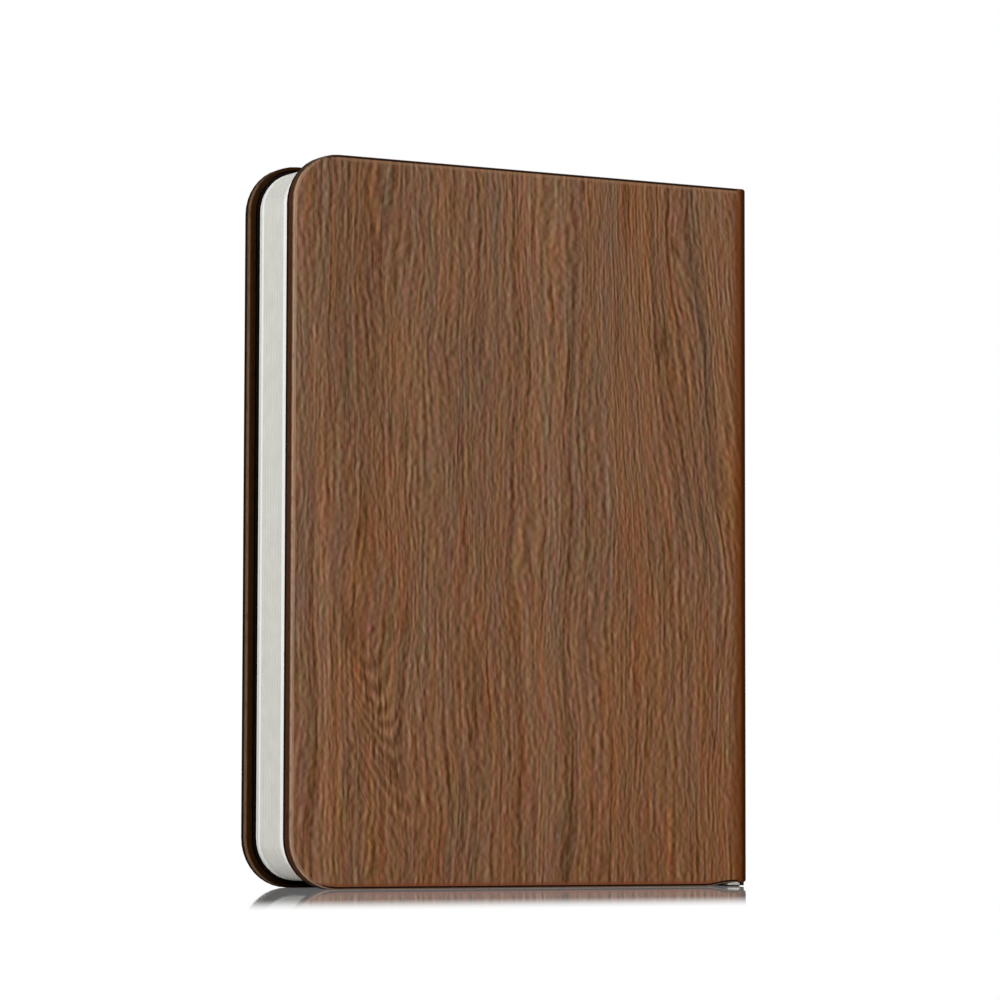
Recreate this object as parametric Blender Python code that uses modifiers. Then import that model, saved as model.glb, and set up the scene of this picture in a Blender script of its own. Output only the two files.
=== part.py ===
"""A folding book lamp, closed and standing upright, as it stands on a shelf.

X runs from the fore edge (-X) to the spine (+X), Y from the front cover (-Y) to the back cover (+Y),
and Z up. The origin lies under the middle of the closed book. Each cover swings out about the crease at
its own side of the spine, and a fan of folded pages opens between the covers. A light bar fixed in the
spine lights the pages from within.
"""

import math

import bmesh
import bpy
from mathutils import Matrix, Vector

MM = 0.001

# The closed book
BOOK_WIDTH = 105.0 * MM
BOOK_HEIGHT = 145.0 * MM
CORNER_RADIUS = 10.0 * MM  # fore-edge corners of the covers
GAP = 0.3 * MM  # between pieces that are glued or seated on each other

# Covers, from outside to inside: veneer skin, stiff board, liner
SKIN_THICKNESS = 0.7 * MM
BOARD_THICKNESS = 2.0 * MM
LINER_THICKNESS = 0.7 * MM
ARRIS_RADIUS = 0.55 * MM  # rounding of the skins' outer edges
HEEL_LENGTH = 9.0 * MM  # from the spine to where the covers' lower edge starts to rise
HEEL_FLAT = 5.0 * MM  # from the spine to where it is fully raised
HEEL_RISE = 0.8 * MM
HEEL_ROUND = 18.0 * MM

# Flexible crease between a cover and the spine
CREASE_HALF = 1.0 * MM  # half the width of its square strip

# Folded pages
PLEATS_EACH_SIDE = 5  # moving pleats of one half, and one more in the middle
PAPER_THICKNESS = 0.32 * MM
FOLD_SPACE = 0.28 * MM  # inside a closed pleat
PAGE_MARGIN = 1.5 * MM  # from the covers' edges to the pages
PAGE_CLEARANCE = 0.5 * MM  # from the light bar to the pages

# Magnets in the cover boards
MAGNET_RADIUS = 4.0 * MM
MAGNET_THICKNESS = 1.2 * MM
MAGNET_FROM_FORE_EDGE = 9.0 * MM
MAGNET_FROM_END = 14.5 * MM
SWITCH_MAGNET_RADIUS = 2.5 * MM

# Light bar: tray, end caps and diffuser
TRAY_WALL = 1.0 * MM
TRAY_ROUND = 0.5 * MM
CAP_THICKNESS = 2.0 * MM
CAP_ROUND = 1.0 * MM
CAP_EDGE = 0.25 * MM
TAB_THICKNESS = 0.9 * MM
TAB_LENGTH = 4.0 * MM
DIFFUSER_THICKNESS = 1.0 * MM
DIFFUSER_CROWN = 0.4 * MM
DIFFUSER_LEG = 0.9 * MM
LEDGE_DEPTH = 0.8 * MM
LEDGE_REACH = 0.8 * MM

# Lamp board, with its row of light-emitting diodes
LAMP_BOARD_THICKNESS = 0.8 * MM
LAMP_BOARD_START = 10.0 * MM
LAMP_BOARD_TOP_ROOM = 8.0 * MM  # up to the top of the book
CHIP_COUNT = 12
CHIP_HEIGHT = 0.7 * MM
CHIP_WIDTH = 2.8 * MM
CHIP_LENGTH = 3.5 * MM
CHIP_CLEARANCE = 0.9 * MM  # between the chips and the diffuser
CHIP_ROW_MARGIN = 6.0 * MM

# Battery
BATTERY_THICKNESS = 4.3 * MM
BATTERY_WIDTH = 10.0 * MM
BATTERY_TOP_ROOM = 23.0 * MM  # up to the top of the book
BATTERY_ROUND = 1.0 * MM

# Control board and what it carries
CONTROL_THICKNESS = 1.0 * MM
CONTROL_START = 4.0 * MM
CONTROL_LENGTH = 23.0 * MM
REST_WIDTH = 6.0 * MM  # bars on the tray's floor under the control board
REST_LENGTH = 2.0 * MM
REST_INSET = 4.0 * MM  # from the board's ends
CHARGER_SIZE = 3.0 * MM
CHARGER_HEIGHT = 0.9 * MM
CHARGER_DOWN = 15.0 * MM  # from the board's upper end, as are the next two
COIL_DOWN = 9.5 * MM
SENSOR_DOWN = 7.0 * MM
COIL_RADIUS = 2.0 * MM
COIL_HEIGHT = 1.5 * MM
PARTS_ASIDE = 2.0 * MM  # charger chip and coil, from the middle of the board
SENSOR_SIZE = 3.0 * MM
SENSOR_HEIGHT = 1.2 * MM
SENSOR_ASIDE = 3.0 * MM

# Charging socket and charge light
SOCKET_WIDTH = 7.4 * MM
SOCKET_HEIGHT = 2.3 * MM
SOCKET_DEPTH = 5.5 * MM
SOCKET_WALL = 0.35 * MM
SOCKET_MOUTH = 4.4 * MM
SOCKET_ROUND = 0.5 * MM
SOCKET_ASIDE = 1.0 * MM
TONGUE_WIDTH = 4.0 * MM
TONGUE_THICKNESS = 0.6 * MM
TONGUE_SHORT = 0.8 * MM
PIPE_RADIUS = 0.7 * MM
PIPE_LENGTH = 8.5 * MM

# Screws that hold the tray to the spine board
SCREW_RADIUS = 0.8 * MM
SCREW_HEAD_RADIUS = 1.8 * MM
SCREW_HEAD_HEIGHT = 0.9 * MM
SCREW_TIP = 0.5 * MM
SCREW_FROM_TOP = 15.0 * MM

# Leads
LEAD_RADIUS = 0.45 * MM
CELL_LEAD_ROOM = 5.0 * MM  # from the control board up to the battery
CELL_LEAD_ASIDE = 2.4 * MM
LAMP_LEAD_ASIDE = 3.9 * MM
LAMP_LEAD_DOWN = 3.0 * MM  # from the top of the control board
LAMP_LEAD_RISE = 4.5 * MM

# How Booleans overlap
OVERRUN = 1.0 * MM
SUNK = 0.2 * MM

# Facets
CORNER_STEPS = 10
ARC_STEPS = 6
FOLD_STEPS = 6
ROD_SIDES = 24
SMALL_ROD_SIDES = 20
WELD = 0.0001 * MM
SHARP_ANGLE = math.radians(35)

# Places along X, from the spine inwards
FORE_X = -BOOK_WIDTH / 2
SPINE_X = BOOK_WIDTH / 2
SPINE_BOARD_X = SPINE_X - SKIN_THICKNESS - GAP
COVER_BOARD_END = SPINE_BOARD_X - BOARD_THICKNESS - GAP
TRAY_BACK_X = COVER_BOARD_END
TRAY_FLOOR_X = TRAY_BACK_X - TRAY_WALL
BATTERY_BACK_X = TRAY_FLOOR_X - GAP
LAMP_BOARD_BACK_X = BATTERY_BACK_X - BATTERY_THICKNESS - GAP
LAMP_BOARD_FRONT_X = LAMP_BOARD_BACK_X - LAMP_BOARD_THICKNESS
CHIP_TOP_X = LAMP_BOARD_FRONT_X - CHIP_HEIGHT
DIFFUSER_BACK_X = CHIP_TOP_X - CHIP_CLEARANCE
BAR_FRONT_X = DIFFUSER_BACK_X - DIFFUSER_THICKNESS
CONTROL_FRONT_X = BATTERY_BACK_X - (BATTERY_THICKNESS + CONTROL_THICKNESS) / 2
CONTROL_BACK_X = CONTROL_FRONT_X + CONTROL_THICKNESS
SOCKET_BACK_X = CONTROL_FRONT_X - GAP
PAGE_INNER_X = BAR_FRONT_X - PAGE_CLEARANCE
PAGE_OUTER_X = FORE_X + PAGE_MARGIN

# Places along Y, from the middle outwards
PLEAT_WIDTH = 2 * PAPER_THICKNESS + FOLD_SPACE
PLEAT_PITCH = PLEAT_WIDTH + GAP
END_PAGE_Y = PLEATS_EACH_SIDE * PLEAT_PITCH + PLEAT_WIDTH / 2 + GAP
LINER_Y = END_PAGE_Y + PAPER_THICKNESS + GAP
BOARD_Y = LINER_Y + LINER_THICKNESS + GAP
SKIN_Y = BOARD_Y + BOARD_THICKNESS + GAP
COVER_Y = SKIN_Y + SKIN_THICKNESS
BAR_HALF = LINER_Y - GAP
TRAY_INNER_HALF = BAR_HALF - TRAY_WALL
LAMP_BOARD_HALF = TRAY_INNER_HALF - GAP
TAB_INNER_HALF = LAMP_BOARD_HALF - TAB_THICKNESS
CONTROL_HALF = TAB_INNER_HALF - GAP

# The creases, which are the joints' axes
CREASE_X = SPINE_X - CREASE_HALF
CREASE_Y = COVER_Y - CREASE_HALF
SKIN_END_X = CREASE_X - CREASE_HALF - GAP
SPINE_HALF = CREASE_Y - CREASE_HALF - GAP
CREASE_ROOM = math.hypot(CREASE_HALF, CREASE_HALF + GAP)  # radius that the strip turns in

# Places along Z
SPINE_LOW = HEEL_RISE  # the spine ends level with the raised heels
TRAY_LOW = CAP_THICKNESS + GAP
TRAY_HIGH = BOOK_HEIGHT - CAP_THICKNESS - GAP
LAMP_BOARD_END = BOOK_HEIGHT - LAMP_BOARD_TOP_ROOM
CONTROL_END = CONTROL_START + CONTROL_LENGTH
REST_LOW = CONTROL_START + REST_INSET
REST_HIGH = CONTROL_END - REST_INSET - REST_LENGTH
CHARGER_Z = CONTROL_END - CHARGER_DOWN
COIL_Z = CONTROL_END - COIL_DOWN
SENSOR_Z = CONTROL_END - SENSOR_DOWN
BATTERY_START = CONTROL_END + CELL_LEAD_ROOM
BATTERY_END = BOOK_HEIGHT - BATTERY_TOP_ROOM
SCREW_LOW = (CONTROL_END + BATTERY_START) / 2
SCREW_HIGH = BOOK_HEIGHT - SCREW_FROM_TOP

WALNUT = (0.19, 0.095, 0.05)
WALNUT_SPINE = (0.12, 0.055, 0.03)
GREY_BOARD = (0.33, 0.30, 0.26)
LINER_PAPER = (0.06, 0.045, 0.04)
PAGE_WHITE = (0.80, 0.79, 0.75)
SHELL_WHITE = (0.82, 0.82, 0.80)
OPAL = (0.90, 0.89, 0.85)
BOARD_GREEN = (0.02, 0.16, 0.07)
BOARD_WHITE = (0.85, 0.85, 0.82)
FOIL_SILVER = (0.55, 0.57, 0.60)
BRIGHT_METAL = (0.62, 0.62, 0.64)
CHIP_BLACK = (0.02, 0.02, 0.02)
CLEAR_PLASTIC = (0.75, 0.85, 0.80)
LEAD_RED = (0.55, 0.03, 0.02)
LEAD_BLACK = (0.02, 0.02, 0.02)


def clear_scene():
    for obj in list(bpy.data.objects):
        bpy.data.objects.remove(obj, do_unlink=True)


def new_collection(name):
    collection = bpy.data.collections.new(name)
    bpy.context.scene.collection.children.link(collection)
    return collection


def material(name, colour, roughness, metallic=0.0):
    made = bpy.data.materials.new(name)
    made.use_nodes = True
    shader = made.node_tree.nodes["Principled BSDF"]
    shader.inputs["Base Color"].default_value = (*colour, 1.0)
    shader.inputs["Roughness"].default_value = roughness
    shader.inputs["Metallic"].default_value = metallic
    made.diffuse_color = (*colour, 1.0)
    return made


def add_object(name, data):
    obj = bpy.data.objects.new(name, data)
    PARTS.objects.link(obj)
    return obj


def finish(obj, look, smooth=False):
    obj.data.materials.clear()
    obj.data.materials.append(look)
    if smooth:
        obj.data.shade_smooth()
        obj.data.set_sharp_from_angle(angle=SHARP_ANGLE)
    return obj


def as_helper(obj):
    """Takes a cutter, or a form that a Boolean joins to another, out of the parts."""
    PARTS.objects.unlink(obj)
    HELPERS.objects.link(obj)
    obj.hide_render = True
    obj.display_type = "WIRE"


def boolean(obj, tool, operation):
    if tool.name in PARTS.objects:
        as_helper(tool)
    step = obj.modifiers.new(operation.lower() + "_" + tool.name, "BOOLEAN")
    step.operation = operation
    step.object = tool
    return obj


def cut(obj, tool):
    return boolean(obj, tool, "DIFFERENCE")


def join(obj, tool):
    return boolean(obj, tool, "UNION")


def keep_inside(obj, tool):
    return boolean(obj, tool, "INTERSECT")


def round_edges(obj, width, segments=2):
    bevel = obj.modifiers.new("rounded_edges", "BEVEL")
    bevel.width = width
    bevel.segments = segments
    bevel.limit_method = "ANGLE"
    bevel.angle_limit = SHARP_ANGLE
    return obj


def box(name, low, high):
    low = Vector(low)
    high = Vector(high)
    bm = bmesh.new()
    bmesh.ops.create_cube(bm, size=1)
    bmesh.ops.scale(bm, vec=high - low, verts=bm.verts)
    bmesh.ops.translate(bm, vec=(low + high) / 2, verts=bm.verts)
    mesh = bpy.data.meshes.new(name)
    bm.to_mesh(mesh)
    bm.free()
    return add_object(name, mesh)


def ordered_box(name, one, other):
    """A box between two opposite corners, given in any order."""
    low = [min(pair) for pair in zip(one, other)]
    high = [max(pair) for pair in zip(one, other)]
    return box(name, low, high)


def rod(name, radius, start, end, sides):
    """A round rod from one point to another."""
    start = Vector(start)
    run = Vector(end) - start
    bm = bmesh.new()
    bmesh.ops.create_cone(
        bm, cap_ends=True, segments=sides, radius1=radius, radius2=radius, depth=run.length
    )
    turn = Vector((0, 0, 1)).rotation_difference(run).to_matrix().to_4x4()
    bmesh.ops.transform(bm, matrix=Matrix.Translation(start + run / 2) @ turn, verts=bm.verts)
    mesh = bpy.data.meshes.new(name)
    bm.to_mesh(mesh)
    bm.free()
    return add_object(name, mesh)


def rounded(corners, steps=ARC_STEPS):
    """The points of an outline whose corners are (u, v, radius)."""
    points = []
    for index, (u, v, radius) in enumerate(corners):
        corner = Vector((u, v))
        if radius <= 0:
            points.append(corner)
            continue
        before = (Vector(corners[index - 1][:2]) - corner).normalized()
        after = (Vector(corners[(index + 1) % len(corners)][:2]) - corner).normalized()
        half = before.angle(after) / 2
        centre = corner + (before + after).normalized() * radius / math.sin(half)
        first = corner + before * radius / math.tan(half) - centre
        last = corner + after * radius / math.tan(half) - centre
        turn = first.angle_signed(last)
        for step in range(steps + 1):
            spoke = Matrix.Rotation(-turn * step / steps, 2) @ first
            points.append(centre + spoke)
    return points


def filled(name, outline, depth, matrix):
    """A closed solid from a filled flat outline, as thick as depth, laid where the matrix says."""
    curve = bpy.data.curves.new(name + "_outline", "CURVE")
    curve.dimensions = "2D"
    curve.fill_mode = "BOTH"
    curve.extrude = depth / 2
    spline = curve.splines.new("POLY")
    spline.points.add(len(outline) - 1)
    for point, (u, v) in zip(spline.points, outline):
        point.co = (u, v, 0, 1)
    spline.use_cyclic_u = True
    guide = bpy.data.objects.new(name + "_outline", curve)
    HELPERS.objects.link(guide)
    bpy.context.view_layer.update()
    graph = bpy.context.evaluated_depsgraph_get()
    mesh = bpy.data.meshes.new_from_object(guide.evaluated_get(graph))
    bpy.data.objects.remove(guide)
    bm = bmesh.new()
    bm.from_mesh(mesh)
    bmesh.ops.remove_doubles(bm, verts=bm.verts, dist=WELD)
    bmesh.ops.dissolve_limit(bm, angle_limit=math.radians(1), verts=bm.verts, edges=bm.edges)
    bmesh.ops.transform(bm, matrix=matrix, verts=bm.verts)
    bmesh.ops.recalc_face_normals(bm, faces=bm.faces)
    bm.to_mesh(mesh)
    bm.free()
    mesh.name = name
    return add_object(name, mesh)


def plate(name, outline, near_y, far_y):
    """A plate parallel to the covers, from an outline in X and Z."""
    upright = Matrix.Rotation(math.radians(90), 4, "X")
    place = Matrix.Translation((0, (near_y + far_y) / 2, 0)) @ upright
    return filled(name, outline, abs(far_y - near_y), place)


def bar(name, outline, low, high):
    """An upright bar, from an outline in X and Y."""
    place = Matrix.Translation((0, 0, (low + high) / 2))
    return filled(name, outline, high - low, place)


def lead(name, points, look):
    """A short insulated lead along a smooth curve through its points."""
    curve = bpy.data.curves.new(name, "CURVE")
    curve.dimensions = "3D"
    curve.bevel_depth = LEAD_RADIUS
    curve.bevel_resolution = 2
    curve.resolution_u = 5
    curve.use_fill_caps = True
    spline = curve.splines.new("BEZIER")
    spline.bezier_points.add(len(points) - 1)
    for knot, place in zip(spline.bezier_points, points):
        knot.co = place
        knot.handle_left_type = "AUTO"
        knot.handle_right_type = "AUTO"
    obj = add_object(name, curve)
    curve.materials.append(look)
    return obj


def axis_at(name, side):
    """An empty on the crease of one side, which carries the pieces that swing about it."""
    empty = bpy.data.objects.new(name, None)
    empty.location = (CREASE_X, side * CREASE_Y, 0)
    PARTS.objects.link(empty)
    return empty


def carry(axis, *pieces):
    for piece in pieces:
        piece.parent = axis
        piece.matrix_parent_inverse = Matrix.Translation(-axis.location)


def origin_on_crease(obj, side):
    crease = Vector((CREASE_X, side * CREASE_Y, 0))
    obj.data.transform(Matrix.Translation(-crease))
    obj.location = crease


def cover_outline(inset, end_x):
    """A cover seen from the front, drawn in from its edges, up to end_x beside the spine."""
    radius = CORNER_RADIUS - inset
    top = BOOK_HEIGHT - inset
    corners = [(FORE_X + inset, inset, radius)]
    corners.append((SPINE_X - HEEL_LENGTH, inset, HEEL_ROUND))
    corners.append((SPINE_X - HEEL_FLAT, inset + HEEL_RISE, HEEL_ROUND))
    corners.append((end_x, inset + HEEL_RISE, 0))
    corners.append((end_x, top, 0))
    corners.append((FORE_X + inset, top, radius))
    return rounded(corners, CORNER_STEPS)


def page_outline(end_x, overhang=0):
    """A page seen from the front: round at the fore edge, square beside the light bar."""
    radius = CORNER_RADIUS - PAGE_MARGIN
    low = PAGE_MARGIN
    high = BOOK_HEIGHT - PAGE_MARGIN
    outer = PAGE_OUTER_X
    corners = [(outer, low, radius), (end_x + overhang, low, 0)]
    corners += [(end_x + overhang, high, 0), (outer, high, radius)]
    return rounded(corners, CORNER_STEPS)


def crease_room(piece, side):
    """Hollows a piece's edge round the crease, as far as the strip's corners reach when it turns."""
    low = (CREASE_X, side * CREASE_Y, -OVERRUN)
    high = (CREASE_X, side * CREASE_Y, BOOK_HEIGHT + OVERRUN)
    word = "front" if side < 0 else "back"
    cut(piece, rod(piece.name + "_room_" + word, CREASE_ROOM, low, high, ROD_SIDES))


def cover_skin(name, side):
    """The veneer skin: an outer sheet whose edges turn in round the board, square beside the crease."""
    past_end = SKIN_END_X + OVERRUN
    skin = plate(name, cover_outline(0, past_end), side * LINER_Y, side * COVER_Y)
    round_edges(skin, ARRIS_RADIUS)
    pocket = cover_outline(SKIN_THICKNESS, past_end + OVERRUN)
    cut(skin, plate(name + "_hollow", pocket, side * (LINER_Y - OVERRUN), side * SKIN_Y))
    low = (COVER_BOARD_END, side * SKIN_Y, -OVERRUN)
    high = (past_end + OVERRUN, side * (LINER_Y - OVERRUN), BOOK_HEIGHT + OVERRUN)
    cut(skin, ordered_box(name + "_spine_room", low, high))
    low = (SKIN_END_X, side * (LINER_Y - OVERRUN), -OVERRUN)
    high = (past_end + OVERRUN, side * (COVER_Y + OVERRUN), BOOK_HEIGHT + OVERRUN)
    cut(skin, ordered_box(name + "_end", low, high))
    crease_room(skin, side)
    return finish(skin, VENEER, smooth=True)


def magnet_pocket(board, name, side, x, z, radius):
    """A blind round pocket in a cover board, open to the liner."""
    floor = BOARD_Y + MAGNET_THICKNESS + GAP
    start = (x, side * (BOARD_Y - OVERRUN), z)
    end = (x, side * floor, z)
    cut(board, rod(name + "_pocket", radius + GAP, start, end, ROD_SIDES))


def magnet(name, side, x, z, radius):
    """A disc magnet, flush with the board's inner face."""
    start = (x, side * BOARD_Y, z)
    end = (x, side * (BOARD_Y + MAGNET_THICKNESS), z)
    return finish(rod(name, radius, start, end, ROD_SIDES), STEEL, smooth=True)


def hold_shut_places():
    x = FORE_X + MAGNET_FROM_FORE_EDGE
    return (("upper", x, BOOK_HEIGHT - MAGNET_FROM_END), ("lower", x, MAGNET_FROM_END))


def cover_board(name, side):
    inset = SKIN_THICKNESS + GAP
    outline = cover_outline(inset, COVER_BOARD_END)
    return finish(plate(name, outline, side * BOARD_Y, side * (BOARD_Y + BOARD_THICKNESS)), GREYBOARD)


def cover_liner(name, side):
    inset = SKIN_THICKNESS + GAP
    outline = cover_outline(inset, COVER_BOARD_END)
    return finish(plate(name, outline, side * LINER_Y, side * (LINER_Y + LINER_THICKNESS)), LINER)


def end_page(name, side):
    """The last sheet of the folded paper, glued to the liner."""
    outline = page_outline(PAGE_INNER_X)
    return finish(plate(name, outline, side * END_PAGE_Y, side * (END_PAGE_Y + PAPER_THICKNESS)), PAPER)


def make_cover(word, side, axis):
    skin = cover_skin(word + "_cover_skin", side)
    board = cover_board(word + "_cover_board", side)
    liner = cover_liner(word + "_cover_liner", side)
    sheet = end_page(word + "_end_page", side)
    carry(axis, skin, board, liner, sheet)
    for place, x, z in hold_shut_places():
        name = word + "_magnet_" + place
        magnet_pocket(board, name, side, x, z, MAGNET_RADIUS)
        carry(axis, magnet(name, side, x, z, MAGNET_RADIUS))
    return board


def make_switch_magnet(board, axis):
    """The small magnet that the sensor in the spine feels while the front cover is shut."""
    x = SOCKET_BACK_X - SENSOR_HEIGHT / 2
    magnet_pocket(board, "switch_magnet", -1, x, SENSOR_Z, SWITCH_MAGNET_RADIUS)
    carry(axis, magnet("switch_magnet", -1, x, SENSOR_Z, SWITCH_MAGNET_RADIUS))


def make_crease(name, side, axis):
    """The skin's flexible fold with its cloth backing, as one square strip centred on the fold's line."""
    near = (CREASE_X - CREASE_HALF, side * (CREASE_Y - CREASE_HALF), SPINE_LOW)
    far = (SPINE_X, side * COVER_Y, BOOK_HEIGHT)
    strip = ordered_box(name, near, far)
    round_outer_edges(strip, side)
    finish(strip, SPINE_VENEER, smooth=True)
    carry(axis, strip)


def round_outer_edges(strip, side):
    """Rounds the edges of the crease strip that lie on the outside of the book."""
    bm = bmesh.new()
    bm.from_mesh(strip.data)
    outer = []
    for edge in bm.edges:
        middle = (edge.verts[0].co + edge.verts[1].co) / 2
        on_spine = middle.x > SPINE_X - SUNK
        on_face = side * middle.y > COVER_Y - SUNK
        at_end = abs(middle.z - BOOK_HEIGHT / 2) > BOOK_HEIGHT / 2 - CREASE_HALF
        if (on_spine and on_face) or ((on_spine or on_face) and at_end):
            outer.append(edge)
    bmesh.ops.bevel(bm, geom=outer, offset=ARRIS_RADIUS, segments=3, profile=0.5, affect="EDGES")
    bm.to_mesh(strip.data)
    bm.free()


def ribbon(name, path, low, high):
    """An upright sheet with no thickness along a path in X and Y."""
    bm = bmesh.new()
    verts = [bm.verts.new((x, y, low)) for x, y in path]
    edges = [bm.edges.new(pair) for pair in zip(verts, verts[1:])]
    raised = bmesh.ops.extrude_edge_only(bm, edges=edges)["geom"]
    moved = [item for item in raised if isinstance(item, bmesh.types.BMVert)]
    bmesh.ops.translate(bm, vec=(0, 0, high - low), verts=moved)
    mesh = bpy.data.meshes.new(name)
    bm.to_mesh(mesh)
    bm.free()
    return add_object(name, mesh)


def pleat_path(centre_y):
    """One pleat in plan: two sheets, apart beside the light bar and joined in a fold at the fore edge."""
    radius = (PLEAT_WIDTH - PAPER_THICKNESS) / 2
    fold_x = PAGE_OUTER_X + PLEAT_WIDTH / 2
    path = [(PAGE_INNER_X, centre_y + radius)]
    for step in range(FOLD_STEPS + 1):
        angle = math.radians(90) + math.pi * step / FOLD_STEPS
        path.append((fold_x + radius * math.cos(angle), centre_y + radius * math.sin(angle)))
    path.append((PAGE_INNER_X, centre_y - radius))
    return path


def make_pleat(name, centre_y, page_block):
    pleat = ribbon(name, pleat_path(centre_y), 0, BOOK_HEIGHT)
    thicken = pleat.modifiers.new("paper", "SOLIDIFY")
    thicken.thickness = PAPER_THICKNESS
    thicken.offset = 0
    thicken.use_even_offset = True
    keep_inside(pleat, page_block)
    return finish(pleat, PAPER)


def make_pages():
    half = LINER_Y
    page_block = plate("page_block", page_outline(PAGE_INNER_X, OVERRUN), -half, half)
    as_helper(page_block)
    make_pleat("middle_pleat", 0, page_block)
    for word, side in SIDES:
        for step in range(1, PLEATS_EACH_SIDE + 1):
            name = word + "_pleat_" + str(step)
            pleat = make_pleat(name, side * step * PLEAT_PITCH, page_block)
            origin_on_crease(pleat, side)


def screw_hole(piece, name, z, inner_x, outer_x):
    hole = rod(name, SCREW_RADIUS + GAP, (inner_x, 0, z), (outer_x, 0, z), SMALL_ROD_SIDES)
    cut(piece, hole)


def make_spine():
    """The spine's stiff board, and its skin with both ends turned in."""
    board_back = SPINE_BOARD_X - BOARD_THICKNESS
    inset = SKIN_THICKNESS + GAP
    corners = [(board_back, SPINE_LOW, 0), (SPINE_X, SPINE_LOW, ARRIS_RADIUS)]
    corners += [(SPINE_X, BOOK_HEIGHT, ARRIS_RADIUS), (board_back, BOOK_HEIGHT, 0)]
    skin = plate("spine_skin", rounded(corners), -SPINE_HALF, SPINE_HALF)
    skin_back = SPINE_X - SKIN_THICKNESS
    low = (board_back - OVERRUN, -SPINE_HALF - OVERRUN, SPINE_LOW + SKIN_THICKNESS)
    high = (skin_back, SPINE_HALF + OVERRUN, BOOK_HEIGHT - SKIN_THICKNESS)
    cut(skin, box("spine_skin_hollow", low, high))
    finish(skin, SPINE_VENEER, smooth=True)
    low = (board_back, -SPINE_HALF, SPINE_LOW + inset)
    high = (SPINE_BOARD_X, SPINE_HALF, BOOK_HEIGHT - inset)
    board = box("spine_board", low, high)
    for place, z in SCREW_PLACES:
        name = "spine_board_hole_" + place
        screw_hole(board, name, z, board_back - OVERRUN, SPINE_BOARD_X + OVERRUN)
    finish(board, GREYBOARD)
    for piece in (skin, board):
        for _, side in SIDES:
            crease_room(piece, side)


def make_tray():
    """The light bar's U-shaped tray, with ledges for the lamp board and bars under the control board."""
    tip = DIFFUSER_BACK_X + GAP
    floor = TRAY_FLOOR_X
    back = TRAY_BACK_X
    outer = BAR_HALF
    inner = TRAY_INNER_HALF
    corners = [(tip, -outer, 0), (back, -outer, TRAY_ROUND), (back, outer, TRAY_ROUND), (tip, outer, 0)]
    corners += [(tip, inner, 0), (floor, inner, 0), (floor, -inner, 0), (tip, -inner, 0)]
    tray = bar("housing_tray", rounded(corners), TRAY_LOW, TRAY_HIGH)
    ledge_x = LAMP_BOARD_BACK_X + GAP
    for word, side in SIDES:
        near = (ledge_x, side * (inner - LEDGE_REACH), LAMP_BOARD_START)
        far = (ledge_x + LEDGE_DEPTH, side * (inner + SUNK), LAMP_BOARD_END)
        join(tray, ordered_box(word + "_ledge", near, far))
    for index, z in enumerate((REST_LOW, REST_HIGH)):
        low = (CONTROL_BACK_X + GAP, -REST_WIDTH / 2, z)
        high = (floor + SUNK, REST_WIDTH / 2, z + REST_LENGTH)
        join(tray, box("control_rest_" + str(index + 1), low, high))
    for place, z in SCREW_PLACES:
        screw_hole(tray, "tray_hole_" + place, z, floor - OVERRUN, back + OVERRUN)
    return finish(tray, SHELL)


def make_cap(name, low, high, inward):
    """An end cap: a plate that closes the bar, with two tabs inside the tray's walls."""
    outer = BAR_HALF
    corners = [(BAR_FRONT_X, -outer, CAP_ROUND), (TRAY_BACK_X, -outer, TRAY_ROUND)]
    corners += [(TRAY_BACK_X, outer, TRAY_ROUND), (BAR_FRONT_X, outer, CAP_ROUND)]
    cap = bar(name, rounded(corners), low, high)
    round_edges(cap, CAP_EDGE)
    inside = high if inward > 0 else low
    tab_x = LAMP_BOARD_BACK_X + GAP + LEDGE_DEPTH + GAP
    for word, side in SIDES:
        near = (tab_x, side * TAB_INNER_HALF, inside - inward * SUNK)
        far = (BATTERY_BACK_X, side * LAMP_BOARD_HALF, inside + inward * TAB_LENGTH)
        join(cap, ordered_box(name + "_" + word + "_tab", near, far))
    return cap


def pipe_place():
    """Where the charge light's pipe stands, in X and Y."""
    return LAMP_BOARD_BACK_X - GAP, TRAY_INNER_HALF - GAP - PIPE_RADIUS


def make_caps():
    top = make_cap("housing_cap_top", BOOK_HEIGHT - CAP_THICKNESS, BOOK_HEIGHT, -1)
    finish(top, SHELL)
    bottom = make_cap("housing_cap_bottom", 0, CAP_THICKNESS, 1)
    half = SOCKET_WIDTH / 2 + GAP
    low = (SOCKET_BACK_X - SOCKET_HEIGHT - GAP, -SOCKET_ASIDE - half, -OVERRUN)
    high = (SOCKET_BACK_X + GAP, -SOCKET_ASIDE + half, CAP_THICKNESS + OVERRUN)
    cut(bottom, box("socket_opening", low, high))
    x, y = pipe_place()
    start = (x, y, -OVERRUN)
    end = (x, y, CAP_THICKNESS + OVERRUN)
    cut(bottom, rod("pipe_hole", PIPE_RADIUS + GAP, start, end, SMALL_ROD_SIDES))
    finish(bottom, SHELL)


def crown(apex_x, half, steps):
    """A shallow curve across the bar, from one edge to the other."""
    points = []
    for step in range(steps + 1):
        share = 2 * step / steps - 1
        points.append((apex_x + DIFFUSER_CROWN * share * share, half * share))
    return points


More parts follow.
